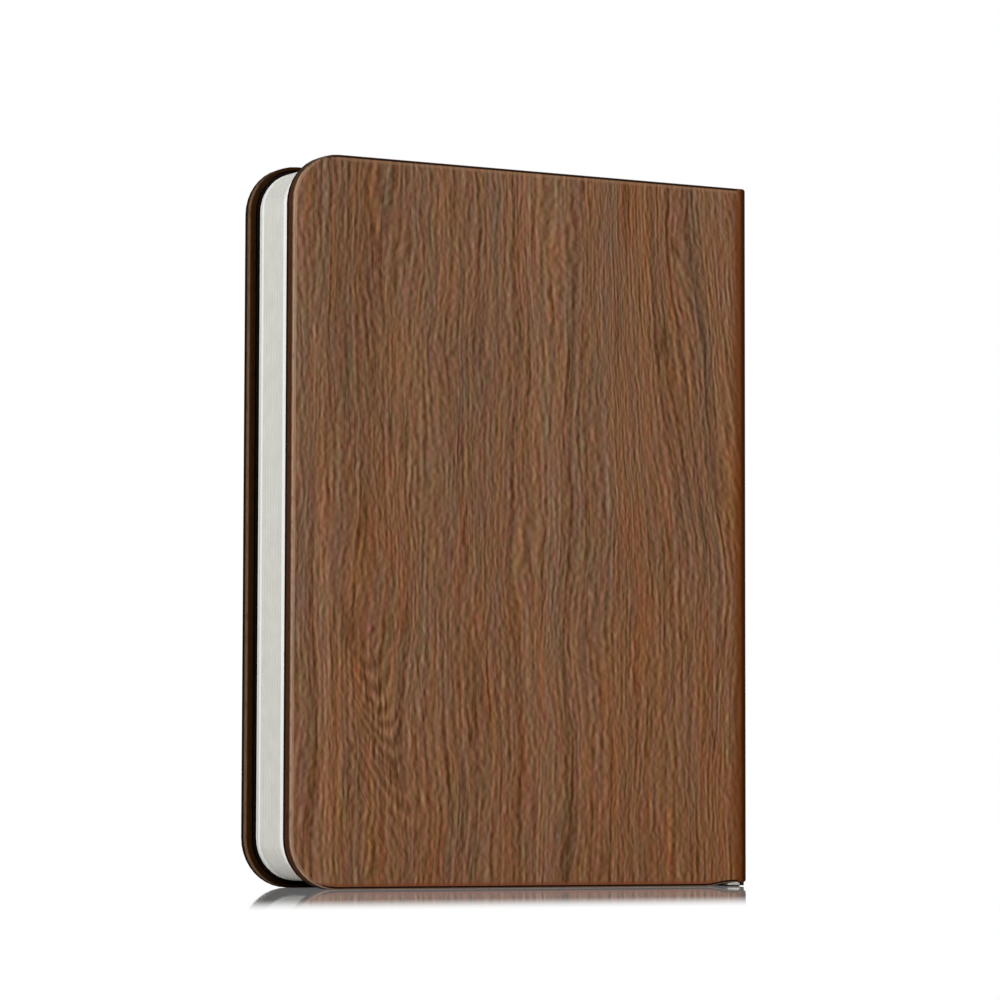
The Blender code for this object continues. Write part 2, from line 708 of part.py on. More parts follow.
def make_diffuser():
    """The opal strip over the lamps: crowned outside, with two legs that hold the lamp board down."""
    leg_tip = LAMP_BOARD_FRONT_X - GAP
    leg_outer = LAMP_BOARD_HALF
    leg_inner = leg_outer - DIFFUSER_LEG
    back = DIFFUSER_BACK_X
    outline = crown(BAR_FRONT_X, BAR_HALF, CORNER_STEPS)
    outline += [(back, BAR_HALF), (back, leg_outer), (leg_tip, leg_outer), (leg_tip, leg_inner)]
    inside = crown(back - DIFFUSER_CROWN, leg_inner, ARC_STEPS)
    outline += list(reversed(inside))
    outline += [(leg_tip, -leg_inner), (leg_tip, -leg_outer), (back, -leg_outer), (back, -BAR_HALF)]
    finish(bar("diffuser", outline, TRAY_LOW, TRAY_HIGH), OPAL_PLASTIC)


def make_lamp_board():
    low_corner = (LAMP_BOARD_FRONT_X, -LAMP_BOARD_HALF, LAMP_BOARD_START)
    board = box("lamp_board", low_corner, (LAMP_BOARD_BACK_X, LAMP_BOARD_HALF, LAMP_BOARD_END))
    first = LAMP_BOARD_START + CHIP_ROW_MARGIN
    last = LAMP_BOARD_END - CHIP_ROW_MARGIN
    pitch = (last - first) / (CHIP_COUNT - 1)
    for index in range(CHIP_COUNT):
        z = first + index * pitch
        low = (CHIP_TOP_X, -CHIP_WIDTH / 2, z - CHIP_LENGTH / 2)
        top = (LAMP_BOARD_FRONT_X + SUNK, CHIP_WIDTH / 2, z + CHIP_LENGTH / 2)
        join(board, box("lamp_chip_" + str(index + 1), low, top))
    finish(board, LAMP_BOARD)


def make_battery():
    low = (BATTERY_BACK_X - BATTERY_THICKNESS, -BATTERY_WIDTH / 2, BATTERY_START)
    high = (BATTERY_BACK_X, BATTERY_WIDTH / 2, BATTERY_END)
    cell = box("battery_cell", low, high)
    round_edges(cell, BATTERY_ROUND, 3)
    finish(cell, FOIL, smooth=True)


def make_control_board():
    """The control board, with its charger chip and its coil soldered on."""
    front = CONTROL_FRONT_X
    low = (front, -CONTROL_HALF, CONTROL_START)
    board = box("control_board", low, (CONTROL_BACK_X, CONTROL_HALF, CONTROL_END))
    half = CHARGER_SIZE / 2
    low = (front - CHARGER_HEIGHT, PARTS_ASIDE - half, CHARGER_Z - half)
    top = (front + SUNK, PARTS_ASIDE + half, CHARGER_Z + half)
    join(board, box("charger_chip", low, top))
    start = (front - COIL_HEIGHT, PARTS_ASIDE, COIL_Z)
    end = (front + SUNK, PARTS_ASIDE, COIL_Z)
    join(board, rod("coil", COIL_RADIUS, start, end, SMALL_ROD_SIDES))
    finish(board, CIRCUIT)


def make_sensor():
    half = SENSOR_SIZE / 2
    low = (SOCKET_BACK_X - SENSOR_HEIGHT, -SENSOR_ASIDE - half, SENSOR_Z - half)
    high = (SOCKET_BACK_X, -SENSOR_ASIDE + half, SENSOR_Z + half)
    finish(box("magnet_sensor", low, high), CHIP)


def make_socket():
    """The charging socket: a thin shell, open downwards, with its tongue inside."""
    half = SOCKET_WIDTH / 2
    front = SOCKET_BACK_X - SOCKET_HEIGHT
    high = GAP + SOCKET_DEPTH
    low = (front, -SOCKET_ASIDE - half, GAP)
    shell = box("charging_socket", low, (SOCKET_BACK_X, -SOCKET_ASIDE + half, high))
    round_edges(shell, SOCKET_ROUND)
    wall = SOCKET_WALL
    low = (front + wall, -SOCKET_ASIDE - half + wall, -OVERRUN)
    top = (SOCKET_BACK_X - wall, -SOCKET_ASIDE + half - wall, GAP + SOCKET_MOUTH)
    cut(shell, box("socket_mouth", low, top))
    middle = front + SOCKET_HEIGHT / 2
    low = (middle - TONGUE_THICKNESS / 2, -SOCKET_ASIDE - TONGUE_WIDTH / 2, GAP + TONGUE_SHORT)
    top = (middle + TONGUE_THICKNESS / 2, -SOCKET_ASIDE + TONGUE_WIDTH / 2, GAP + SOCKET_MOUTH + SUNK)
    join(shell, box("socket_tongue", low, top))
    finish(shell, STEEL)


def make_light_pipe():
    x, y = pipe_place()
    pipe = rod("light_pipe", PIPE_RADIUS, (x, y, 0), (x, y, PIPE_LENGTH), SMALL_ROD_SIDES)
    finish(pipe, PIPE, smooth=True)


def make_screw(name, z):
    """A pan-head screw through the tray's floor into the spine board, as a turned profile."""
    head = SCREW_HEAD_HEIGHT
    reach = GAP + TRAY_WALL + GAP + BOARD_THICKNESS
    profile = [(0, 0), (SCREW_HEAD_RADIUS / 2, 0), (SCREW_HEAD_RADIUS, -head / 2)]
    profile += [(SCREW_HEAD_RADIUS, -head), (SCREW_RADIUS, -head)]
    profile += [(SCREW_RADIUS, -head - reach + SCREW_TIP), (0, -head - reach)]
    bm = bmesh.new()
    verts = [bm.verts.new((radius, 0, along)) for radius, along in profile]
    for pair in zip(verts, verts[1:]):
        bm.edges.new(pair)
    mesh = bpy.data.meshes.new(name)
    bm.to_mesh(mesh)
    bm.free()
    screw = add_object(name, mesh)
    turn = screw.modifiers.new("turned", "SCREW")
    turn.steps = SMALL_ROD_SIDES
    turn.render_steps = SMALL_ROD_SIDES
    turn.use_merge_vertices = True
    turn.merge_threshold = WELD
    screw.rotation_euler = (0, -math.radians(90), 0)
    screw.location = (BATTERY_BACK_X - head, 0, z)
    finish(screw, STEEL)


def make_leads():
    """Two leads from the cell to the control board, and two from there to the lamp board."""
    top = BATTERY_START - GAP
    foot = CONTROL_END + GAP
    lamp_foot = CONTROL_END - LAMP_LEAD_DOWN
    cell_x = BATTERY_BACK_X - BATTERY_THICKNESS / 2
    board_x = CONTROL_FRONT_X + CONTROL_THICKNESS / 2
    sides = (("plus", 1, RED_LEAD), ("minus", -1, BLACK_LEAD))
    for word, side, look in sides:
        y = side * CELL_LEAD_ASIDE
        bulge = y + side * LEAD_RADIUS
        middle = ((cell_x + board_x) / 2, bulge, (top + foot) / 2)
        lead("cell_lead_" + word, [(cell_x, y, top), middle, (board_x, y, foot)], look)
        y = side * LAMP_LEAD_ASIDE
        start = (SOCKET_BACK_X, y, lamp_foot)
        end = (LAMP_BOARD_BACK_X + GAP, y, lamp_foot + LAMP_LEAD_RISE)
        middle = [(one + other) / 2 for one, other in zip(start, end)]
        lead("lamp_lead_" + word, [start, middle, end], look)


clear_scene()
PARTS = new_collection("folding_book_lamp")
HELPERS = new_collection("cutters_and_joined_forms")

VENEER = material("walnut_veneer", WALNUT, 0.5)
SPINE_VENEER = material("walnut_spine", WALNUT_SPINE, 0.5)
GREYBOARD = material("grey_board", GREY_BOARD, 0.9)
LINER = material("liner_paper", LINER_PAPER, 0.8)
PAPER = material("page_paper", PAGE_WHITE, 0.7)
SHELL = material("housing_plastic", SHELL_WHITE, 0.4)
OPAL_PLASTIC = material("opal_plastic", OPAL, 0.45)
LAMP_BOARD = material("lamp_board_white", BOARD_WHITE, 0.5)
CIRCUIT = material("circuit_green", BOARD_GREEN, 0.4)
FOIL = material("battery_foil", FOIL_SILVER, 0.35, 0.8)
STEEL = material("plated_steel", BRIGHT_METAL, 0.3, 1.0)
CHIP = material("chip_black", CHIP_BLACK, 0.5)
PIPE = material("clear_pipe", CLEAR_PLASTIC, 0.1)
RED_LEAD = material("red_lead", LEAD_RED, 0.45)
BLACK_LEAD = material("black_lead", LEAD_BLACK, 0.45)

SIDES = (("front", -1), ("back", 1))
SCREW_PLACES = (("upper", SCREW_HIGH), ("lower", SCREW_LOW))

for side_word, side_sign in SIDES:
    crease_axis = axis_at(side_word + "_crease_axis", side_sign)
    cover_axis = axis_at(side_word + "_cover_axis", side_sign)
    carry(crease_axis, cover_axis)
    make_crease(side_word + "_crease", side_sign, crease_axis)
    cover = make_cover(side_word, side_sign, cover_axis)
    if side_word == "front":
        make_switch_magnet(cover, cover_axis)

make_pages()
make_spine()
make_tray()
make_caps()
make_diffuser()
make_lamp_board()
make_battery()
make_control_board()
make_sensor()
make_socket()
make_light_pipe()
for screw_place, screw_z in SCREW_PLACES:
    make_screw("tray_screw_" + screw_place, screw_z)
make_leads()
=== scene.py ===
"""The finish of a folding book lamp, standing closed on a pale floor.

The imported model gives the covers, the spine, the light bar and the bodies that they move with. This
script adds the crease sheets and the cloth behind them, the page leaves, the inner folds between the leaves
and the lip of the lower end cap. It gives every piece its finish, and sets up the floor, the lamps and the
camera. X runs from the fore edge to the spine, Y from the front cover to the back cover, and Z up. Lengths
are in metres.
"""

import math

import bpy
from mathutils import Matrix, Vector


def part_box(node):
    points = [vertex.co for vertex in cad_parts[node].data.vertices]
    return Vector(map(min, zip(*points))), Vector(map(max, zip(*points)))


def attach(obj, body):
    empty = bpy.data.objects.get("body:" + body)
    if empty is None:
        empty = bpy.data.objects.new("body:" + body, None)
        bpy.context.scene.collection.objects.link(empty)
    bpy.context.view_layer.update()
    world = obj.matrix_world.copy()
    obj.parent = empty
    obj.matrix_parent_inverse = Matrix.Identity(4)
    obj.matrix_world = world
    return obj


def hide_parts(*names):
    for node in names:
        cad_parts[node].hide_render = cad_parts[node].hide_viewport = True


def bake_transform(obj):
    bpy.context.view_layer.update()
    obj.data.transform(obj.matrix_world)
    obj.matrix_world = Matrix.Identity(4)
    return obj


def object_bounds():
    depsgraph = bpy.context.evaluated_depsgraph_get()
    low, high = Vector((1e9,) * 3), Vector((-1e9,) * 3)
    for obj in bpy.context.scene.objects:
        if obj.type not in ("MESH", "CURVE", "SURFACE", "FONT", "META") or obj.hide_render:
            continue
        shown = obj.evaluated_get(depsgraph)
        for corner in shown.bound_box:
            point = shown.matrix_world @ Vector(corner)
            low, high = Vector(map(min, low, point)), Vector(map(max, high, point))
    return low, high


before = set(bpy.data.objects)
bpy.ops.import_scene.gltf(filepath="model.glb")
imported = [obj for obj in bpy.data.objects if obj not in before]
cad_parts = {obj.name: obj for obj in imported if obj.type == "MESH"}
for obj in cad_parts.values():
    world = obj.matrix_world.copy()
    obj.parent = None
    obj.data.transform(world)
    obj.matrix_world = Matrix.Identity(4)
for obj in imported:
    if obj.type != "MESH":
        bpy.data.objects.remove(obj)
cad_low, cad_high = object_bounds()

MM = 0.001

# The photograph's point of view
CAMERA_AZIMUTH = math.radians(-28.99)
CAMERA_PITCH = math.radians(4.088)
CAMERA_ROLL = math.radians(-0.15)
CAMERA_DISTANCE = 857.9 * MM
CAMERA_ASIDE = 0.325 * MM
CAMERA_HEIGHT = 17.35 * MM
CAMERA_LENS = 151.7  # millimetres, on a 36 mm wide sensor
CAMERA_NEAR = 10.0 * MM  # the camera sees nothing nearer or farther than these
CAMERA_FAR = 20.0

# Shading and curves
SHARP_ANGLE = math.radians(50)  # edges sharper than this stay creases in the shading
ARC_STEPS = 8

# Crease sheets
SHEET_THICKNESS = 0.3 * MM
SHEET_ROLL = 0.55 * MM  # rounding where a sheet turns in at its ends
SHEET_TURN_IN = 0.85 * MM
STRAIGHT_SHARE = 0.5  # of the crease's half width, up to which its sheets are straight
BACKING_RADIUS = 0.6 * MM
BACKING_END = 0.15 * MM  # its lower end hangs just off the floor
BACKING_SIDES = 14

# Lip of the lower end cap
LIP_GAP = 0.2 * MM
LIP_ARM = 3.6 * MM  # how far its arms reach from the crease's axis under the covers' heels
LIP_SET_BACK = 0.25 * MM  # of the arms' ends behind the covers' faces
LIP_PROFILE = [  # height and how far the sides draw in
    (0.02 * MM, 0.20 * MM),
    (0.08 * MM, 0.06 * MM),
    (0.16 * MM, 0.0),
    (0.60 * MM, 0.0),
    (0.66 * MM, 0.06 * MM),
]

# Page leaves and inner folds
PLEATS_EACH_SIDE = 5
HALF_PLEAT = 3  # the pleat that turns half as far as its cover, on the body of the crease
LEAF_HALF = 0.46 * MM  # from a leaf's middle to its outer face
FOLD_HALF = 0.60 * MM  # the same at the outer fold, where the paper springs open
FOLD_DEPTH = 0.30 * MM  # how far the fold's nose stands out
FOLD_LENGTH = 14.0 * MM  # over which the leaf swells towards its fold
SLIT_HALF = 0.06 * MM  # half the slit between a leaf's two sheets
SHEET_MIDDLE = 0.30 * MM  # from a leaf's middle to where an inner fold meets it
PAGE_CORNER = 8.5 * MM
PAPER_WAVE = 0.02 * MM  # how far a leaf waves to each side
WAVE_ALONG = 9.0 * MM  # its slowness up the page, and across it
WAVE_ACROSS = 17.0 * MM
WAVE_STEP = 1.7  # from one leaf's wave to the next one's
INNER_FOLD_THICKNESS = 0.3 * MM
INNER_FOLD_STEPS = 10
LEAF_ROWS = 36
LEAF_STEPS = 20


# Meshes

def new_piece(name, vertices, faces):
    """A new mesh object that belongs to the lamp. It keeps the place of its points at rest."""
    mesh = bpy.data.meshes.new(name)
    mesh.from_pydata(vertices, [], faces)
    mesh.update()
    place = mesh.attributes.new("rest_place", "FLOAT_VECTOR", "POINT")
    for index, vertex in enumerate(mesh.vertices):
        place.data[index].vector = vertex.co
    mesh.shade_smooth()
    mesh.set_sharp_from_angle(angle=SHARP_ANGLE)
    piece = bpy.data.objects.new(name, mesh)
    bpy.context.scene.collection.objects.link(piece)
    return piece


def loft(name, rings):
    """A closed skin through rings with equal counts of points, each ring one outline."""
    count = len(rings[0])
    vertices = [point for ring in rings for point in ring]
    faces = []
    for row in range(len(rings) - 1):
        for index in range(count):
            following = (index + 1) % count
            low = row * count
            high = low + count
            faces.append((low + index, low + following, high + following, high + index))
    faces.append(tuple(reversed(range(count))))
    last = (len(rings) - 1) * count
    faces.append(tuple(range(last, last + count)))
    return new_piece(name, vertices, faces)


def normals_along(path):
    """The sideways direction at each point of a path in plan."""
    sideways = []
    for index in range(len(path)):
        before = path[max(index - 1, 0)]
        after = path[min(index + 1, len(path) - 1)]
        along = (Vector(after) - Vector(before)).normalized()
        sideways.append(Vector((-along.y, along.x)))
    return sideways


# Crease sheets

def rolled_edge(low, high):
    """Outline of a sheet from end to end and back, as depth inward and height. Both ends turn in."""
    outline = []
    for step in range(ARC_STEPS + 1):
        angle = math.pi / 2 * step / ARC_STEPS
        depth = SHEET_ROLL * (1 - math.sin(angle))
        outline.append((depth, low + SHEET_ROLL * (1 - math.cos(angle))))
    for step in range(ARC_STEPS + 1):
        angle = math.pi / 2 * step / ARC_STEPS
        depth = SHEET_ROLL * (1 - math.cos(angle))
        outline.append((depth, high - SHEET_ROLL * (1 - math.sin(angle))))
    inner_roll = SHEET_ROLL - SHEET_THICKNESS
    outline.append((SHEET_TURN_IN, high))
    outline.append((SHEET_TURN_IN, high - SHEET_THICKNESS))
    for step in range(ARC_STEPS + 1):
        angle = math.pi / 2 * (1 - step / ARC_STEPS)
        depth = SHEET_ROLL - inner_roll * math.cos(angle)
        outline.append((depth, high - SHEET_ROLL + inner_roll * math.sin(angle)))
    for step in range(ARC_STEPS + 1):
        angle = math.pi / 2 * step / ARC_STEPS
        depth = SHEET_ROLL - inner_roll * math.cos(angle)
        outline.append((depth, low + SHEET_ROLL - inner_roll * math.sin(angle)))
    outline.append((SHEET_TURN_IN, low + SHEET_THICKNESS))
    outline.append((SHEET_TURN_IN, low))
    return outline


def crease_sheet(name, path, low, high):
    """A thin sheet that follows a path in plan, with its ends turned in to the left of the path."""
    rings = []
    for (x, y), aside in zip(path, normals_along(path)):
        ring = []
        for depth, height in rolled_edge(low, high):
            ring.append((x + aside.x * depth, y + aside.y * depth, height))
        rings.append(ring)
    return loft(name, rings)


def crease_arc(axis, reach, side, start):
    """An eighth of a turn round the crease's axis in plan, from the start angle on."""
    arc = []
    for step in range(ARC_STEPS + 1):
        angle = start + math.pi / 4 * step / ARC_STEPS
        x = axis.x + reach * math.sin(angle)
        y = abs(axis.y) + reach * math.cos(angle)
        arc.append((x, side * y))
    return arc


def dress_crease(side_name, side, finish, backing_finish):
    """The two sheets and the backing of one crease. Side is -1 at the front and 1 at the back."""
    node = side_name + "_crease"
    cover = side_name + "_cover"
    low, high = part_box(node)
    axis = Vector(((low.x + high.x) / 2, (low.y + high.y) / 2, 0))
    reach = (high.x - low.x) / 2
    outer_y = side * (abs(axis.y) + reach)
    cover_end_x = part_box(cover + "_skin")[1].x
    spine_end_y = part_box("spine_skin")[1].y

    cover_path = [(cover_end_x, outer_y), (axis.x - reach * STRAIGHT_SHARE, outer_y)]
    cover_path += crease_arc(axis, reach, side, 0.0)
    spine_path = crease_arc(axis, reach, side, math.pi / 4)
    spine_path.append((axis.x + reach, side * (abs(axis.y) - reach * STRAIGHT_SHARE)))
    spine_path.append((axis.x + reach, side * spine_end_y))
    if side > 0:
        cover_path.reverse()
        spine_path.reverse()
    cover_sheet = crease_sheet(side_name + "_crease_cover_sheet", cover_path, low.z, high.z)
    spine_sheet = crease_sheet(side_name + "_crease_spine_sheet", spine_path, low.z, high.z)

    for sheet in (cover_sheet, spine_sheet):
        sheet.data.materials.append(finish)
        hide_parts(node)
    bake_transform(cover_sheet)
    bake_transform(spine_sheet)
    dress_backing(side_name, axis, (low.z + high.z) / 2, high.z - SHEET_THICKNESS * 2, backing_finish)


def dress_backing(side_name, axis, middle, top, finish):
    """The rolled strip of cloth behind one crease."""
    rings = []
    for height in (BACKING_END, middle, top):
        ring = []
        for index in range(BACKING_SIDES):
            turn = 2 * math.pi * index / BACKING_SIDES
            x = axis.x + BACKING_RADIUS * math.cos(turn)
            y = axis.y + BACKING_RADIUS * math.sin(turn)
            ring.append((x, y, height))
        rings.append(ring)
    backing = loft(side_name + "_crease_backing", rings)
    backing.data.materials.append(finish)
    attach(backing, side_name + "_half")


# Lower end cap

def lip_outline(inset):
    """The lip in plan, drawn in by the inset: a bar behind the end cap, and an arm under each heel."""
    cap_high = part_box("housing_cap_bottom")[1]
    skin_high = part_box("spine_skin")[1]
    crease_low, crease_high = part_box("back_crease")
    axis_x = (crease_low.x + crease_high.x) / 2
    near = cap_high.x + LIP_GAP + inset
    far = skin_high.x - LIP_GAP - inset
    half = skin_high.y - LIP_GAP - inset
    inner = cap_high.y + LIP_GAP + inset
    outer = crease_high.y - LIP_SET_BACK - inset
    arm_near = axis_x - LIP_ARM + inset
    arm_far = axis_x - BACKING_RADIUS - LIP_GAP - inset
    back = [(far, half), (arm_far, half), (arm_far, outer)]
    back += [(arm_near, outer), (arm_near, inner), (near, inner)]
    front = [(x, -y) for x, y in reversed(back)]
    return front + back


def dress_cap_lip(finish):
    """The lip of the lower end cap, which shows through the gap beneath the raised heels."""
    rings = [[(x, y, height) for x, y in lip_outline(inset)] for height, inset in LIP_PROFILE]
    lip = loft("end_cap_lip", rings)
    lip.data.materials.append(finish)
    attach(lip, "spine")


# Pages

def leaf_outline(low, high, half, fold_half, nose):
    """One face of a folded leaf in plan: along one sheet to the outer fold, round its nose and back."""
    middle = (low.y + high.y) / 2
    fore_x = low.x + FOLD_DEPTH
    side = []
    for step in range(LEAF_STEPS + 1):
        share = 1 - (1 - step / LEAF_STEPS) ** 2
        x = high.x + (fore_x - high.x) * share
        near = min(max(1 - (x - fore_x) / FOLD_LENGTH, 0.0), 1.0)
        swell = near * near * (3 - 2 * near)
        side.append((x, half + (fold_half - half) * swell))
    outline = [(x, middle + y) for x, y in side]
    for step in range(1, ARC_STEPS * 2):
        angle = math.pi * step / (ARC_STEPS * 2)
        outline.append((fore_x - nose * math.sin(angle), middle + fold_half * math.cos(angle)))
    outline += [(x, middle - y) for x, y in reversed(side)]
    return outline


def corner_rise(x, fore_x):
    """How much a page's end is rounded away at this distance from the fore edge."""
    inward = min(x - fore_x, PAGE_CORNER)
    if inward >= PAGE_CORNER:
        return 0.0
    rest = PAGE_CORNER - max(inward, 0.0)
    return PAGE_CORNER - math.sqrt(max(PAGE_CORNER ** 2 - rest ** 2, 0.0))


def dress_leaf(name, node, body, number, finish):
    """One leaf of folded paper in place of its plain pleat. The number sets its wave."""
    low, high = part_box(node)
    outer = leaf_outline(low, high, LEAF_HALF, FOLD_HALF, FOLD_DEPTH)
    inner = leaf_outline(low, high, SLIT_HALF, SLIT_HALF, SLIT_HALF)
    outline = outer + inner[::-1]
    count = len(outline)
    vertices = []
    for row in range(LEAF_ROWS + 1):
        share = row / LEAF_ROWS
        for x, y in outline:
            rise = corner_rise(x, low.x)
            height = low.z + rise + (high.z - low.z - 2 * rise) * share
            wave_along = math.sin(height / WAVE_ALONG + number * WAVE_STEP)
            wave_across = math.sin(x / WAVE_ACROSS + number)
            vertices.append((x, y + PAPER_WAVE * (wave_along * wave_across), height))
    faces = []
    for row in range(LEAF_ROWS):
        for index in range(count):
            following = (index + 1) % count
            below = row * count
            above = below + count
            faces.append((below + index, below + following, above + following, above + index))
    last = LEAF_ROWS * count
    for index in range(len(outer) - 1):
        opposite = count - 1 - index
        faces.append((index + 1, index, opposite, opposite - 1))
        faces.append((last + index, last + index + 1, last + opposite - 1, last + opposite))
    leaf = new_piece(name, vertices, faces)
    leaf.data.materials.append(finish)
    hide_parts(node)
    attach(leaf, body)


def middle_y(node):
    """How far the middle of a page lies from the middle of the book."""
    low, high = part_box(node)
    return abs(low.y + high.y) / 2


def dress_inner_fold(side_name, side, number, finish):
    """The fold that joins a leaf to the next beside the light bar."""
    leaf = "middle_pleat" if number == 0 else "%s_pleat_%d" % (side_name, number)
    low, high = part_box(leaf)
    y_start = middle_y(leaf) + SHEET_MIDDLE
    if number < PLEATS_EACH_SIDE:
        y_end = middle_y("%s_pleat_%d" % (side_name, number + 1)) - SHEET_MIDDLE
    else:
        y_end = middle_y(side_name + "_end_page")
    x_low = high.x - INNER_FOLD_THICKNESS
    rings = []
    for step in range(INNER_FOLD_STEPS + 1):
        y = side * (y_start + (y_end - y_start) * step / INNER_FOLD_STEPS)
        corners = [(x_low, y, low.z), (high.x, y, low.z), (high.x, y, high.z), (x_low, y, high.z)]
        rings.append(corners if side > 0 else corners[::-1])
    fold = loft("%s_inner_fold_%d" % (side_name, number + 1), rings)
    fold.data.materials.append(finish)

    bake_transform(fold)


def dress_pages(finish):
    """Every leaf of the paper fan and the inner folds between them."""
    dress_leaf("middle_leaf", "middle_pleat", "spine", 0, finish)
    for side_name, side in (("front", -1), ("back", 1)):
        for number in range(1, PLEATS_EACH_SIDE + 1):
            node = "%s_pleat_%d" % (side_name, number)
            body = side_name + "_half" if number == HALF_PLEAT else node
            dress_leaf("%s_leaf_%d" % (side_name, number), node, body, side * number, finish)
        for number in range(PLEATS_EACH_SIDE + 1):
            dress_inner_fold(side_name, side, number, finish)


# Shader nodes

def feed(tree, socket, value):
    """Links an output to a socket, or sets the socket to a number or colour."""
    if isinstance(value, bpy.types.NodeSocket):
        tree.links.new(value, socket)
    else:
        socket.default_value = value


def calculate(tree, operation, first, second=0.0, third=0.0):
    """The result of one Math node."""
    step = tree.nodes.new("ShaderNodeMath")
    step.operation = operation
    feed(tree, step.inputs[0], first)
    feed(tree, step.inputs[1], second)
    feed(tree, step.inputs[2], third)
    return step.outputs[0]


def add(tree, first, second):
    return calculate(tree, "ADD", first, second)


def minus(tree, first, second):
    return calculate(tree, "SUBTRACT", first, second)


def times(tree, first, second):
    return calculate(tree, "MULTIPLY", first, second)


def swing(tree, value, span, about=0.0):
    """A noise between 0 and 1 made to swing over the span about a number."""
    return calculate(tree, "MULTIPLY_ADD", value, span, about - span / 2)


def split(tree, vector):
    """The X, Y and Z of a vector."""
    node = tree.nodes.new("ShaderNodeSeparateXYZ")
    feed(tree, node.inputs["Vector"], vector)
    return node.outputs


def scaled(tree, vector, scale):
    """The vector times a number."""
    node = tree.nodes.new("ShaderNodeVectorMath")
    node.operation = "SCALE"
    feed(tree, node.inputs["Vector"], vector)
    feed(tree, node.inputs["Scale"], scale)
    return node.outputs["Vector"]


def ease(tree, value, low, high, to_low=0.0, to_high=1.0):
    """A smooth step from to_low to to_high as the value goes from low to high."""
    step = tree.nodes.new("ShaderNodeMapRange")
    step.interpolation_type = "SMOOTHSTEP"
    feed(tree, step.inputs["Value"], value)
    feed(tree, step.inputs["From Min"], low)
    feed(tree, step.inputs["From Max"], high)
    feed(tree, step.inputs["To Min"], to_low)
    feed(tree, step.inputs["To Max"], to_high)
    return step.outputs["Result"]


def hump(tree, value, centre, width):
    """A bell that is 1 at the centre and fades to nothing over about twice the width."""
    away = calculate(tree, "DIVIDE", minus(tree, value, centre), width)
    return calculate(tree, "EXPONENT", times(tree, times(tree, away, away), -1.0))


def noise(tree, place, detail, roughness=0.5, distortion=0.0, scale=1.0):
    """Soft noise between 0 and 1, about 0.5 on average."""
    texture = tree.nodes.new("ShaderNodeTexNoise")
    texture.noise_dimensions = "3D"
    feed(tree, texture.inputs["Vector"], place)
    texture.inputs["Scale"].default_value = scale
    texture.inputs["Detail"].default_value = detail
    texture.inputs["Roughness"].default_value = roughness
    texture.inputs["Distortion"].default_value = distortion
    return texture.outputs["Fac"]


def marks(tree, across, along, width, length, seed, detail=0.0):
    """Soft noise between 0 and 1 in marks of this width and length."""
    place = tree.nodes.new("ShaderNodeCombineXYZ")
    feed(tree, place.inputs["X"], calculate(tree, "DIVIDE", across, width))
    feed(tree, place.inputs["Y"], calculate(tree, "DIVIDE", along, length))
    place.inputs["Z"].default_value = seed
    return noise(tree, place.outputs["Vector"], detail=detail)


def ramp(tree, value, stops):
    """A colour ramp. stops is a list of (place, colour)."""
    node = tree.nodes.new("ShaderNodeValToRGB")
    node.color_ramp.interpolation = "LINEAR"
    elements = node.color_ramp.elements
    while len(elements) < len(stops):
        elements.new(0.5)
    for element, (place, colour) in zip(elements, stops):
        element.position = place
        element.color = (*colour, 1.0)
    feed(tree, node.inputs["Fac"], value)
    return node.outputs["Color"]


def shade(tree, value, dark, light):
    """A colour that goes from dark to light over the usual range of a noise."""
    return ramp(tree, value, [(0.3, dark), (0.7, light)])


def blend_colours(tree, share, first, second, kind="MIX"):
    """The first colour where the share is 0 and the second where it is 1."""
    node = tree.nodes.new("ShaderNodeMix")
    node.data_type = "RGBA"
    node.blend_type = kind
    feed(tree, node.inputs["Factor"], share)
    for socket, colour in ((node.inputs[6], first), (node.inputs[7], second)):
        feed(tree, socket, colour if isinstance(colour, bpy.types.NodeSocket) else (*colour, 1.0))
    return node.outputs[2]


def new_group(name, inputs, outputs):
    """A shader node group, and its inner input and output sockets."""
    tree = bpy.data.node_groups.new(name, "ShaderNodeTree")
    for socket_name, kind, value in inputs:
        socket = tree.interface.new_socket(name=socket_name, in_out="INPUT", socket_type=kind)
        if value is not None:
            socket.default_value = value
    for socket_name, kind in outputs:
        tree.interface.new_socket(name=socket_name, in_out="OUTPUT", socket_type=kind)
    return tree, tree.nodes.new("NodeGroupInput").outputs, tree.nodes.new("NodeGroupOutput").inputs


def use_group(tree, group, **values):
    """Places a node group in a material and gives its outputs."""
    node = tree.nodes.new("ShaderNodeGroup")
    node.node_tree = group
    for name, value in values.items():
        feed(tree, node.inputs[name], value)
    return node.outputs


# Shared effects

# Long soft bands: width and length of the marks in millimetres, detail, strength, seed
WALNUT_BANDS = [
    (9.0, 120.0, 1.0, 0.09, 7.7),
    (2.8, 80.0, 1.0, 0.12, 2.2),
    (1.2, 40.0, 1.0, 0.16, 5.5),
]

# Fibres, light on one side and dark on the other: width and length in millimetres, strength, seed
WALNUT_FIBRES = [
    (0.78, 60.0, 0.32, 6.2),
    (0.76, 14.0, 0.38, 8.3),
    (0.72, 3.6, 0.42, 9.1),
    (0.62, 1.3, 0.38, 3.6),
]
FIBRE_SHIFT = 0.65  # millimetres from a fibre's light side to its dark side

# Patches of redder and greener wood: width and length in millimetres, strength, seed
WALNUT_HUES = [
    (20.0, 110.0, 0.55, 6.6),
    (4.0, 40.0, 0.66, 1.8),
    (1.5, 16.0, 0.60, 4.9),
    (0.6, 6.0, 0.60, 7.4),
]

# Pinker and more olive specks: width and length in millimetres, strength, seed
WALNUT_SPECKS = [
    (0.7, 2.2, 1.1, 6.9),
    (1.8, 12.0, 0.8, 0.7),
]

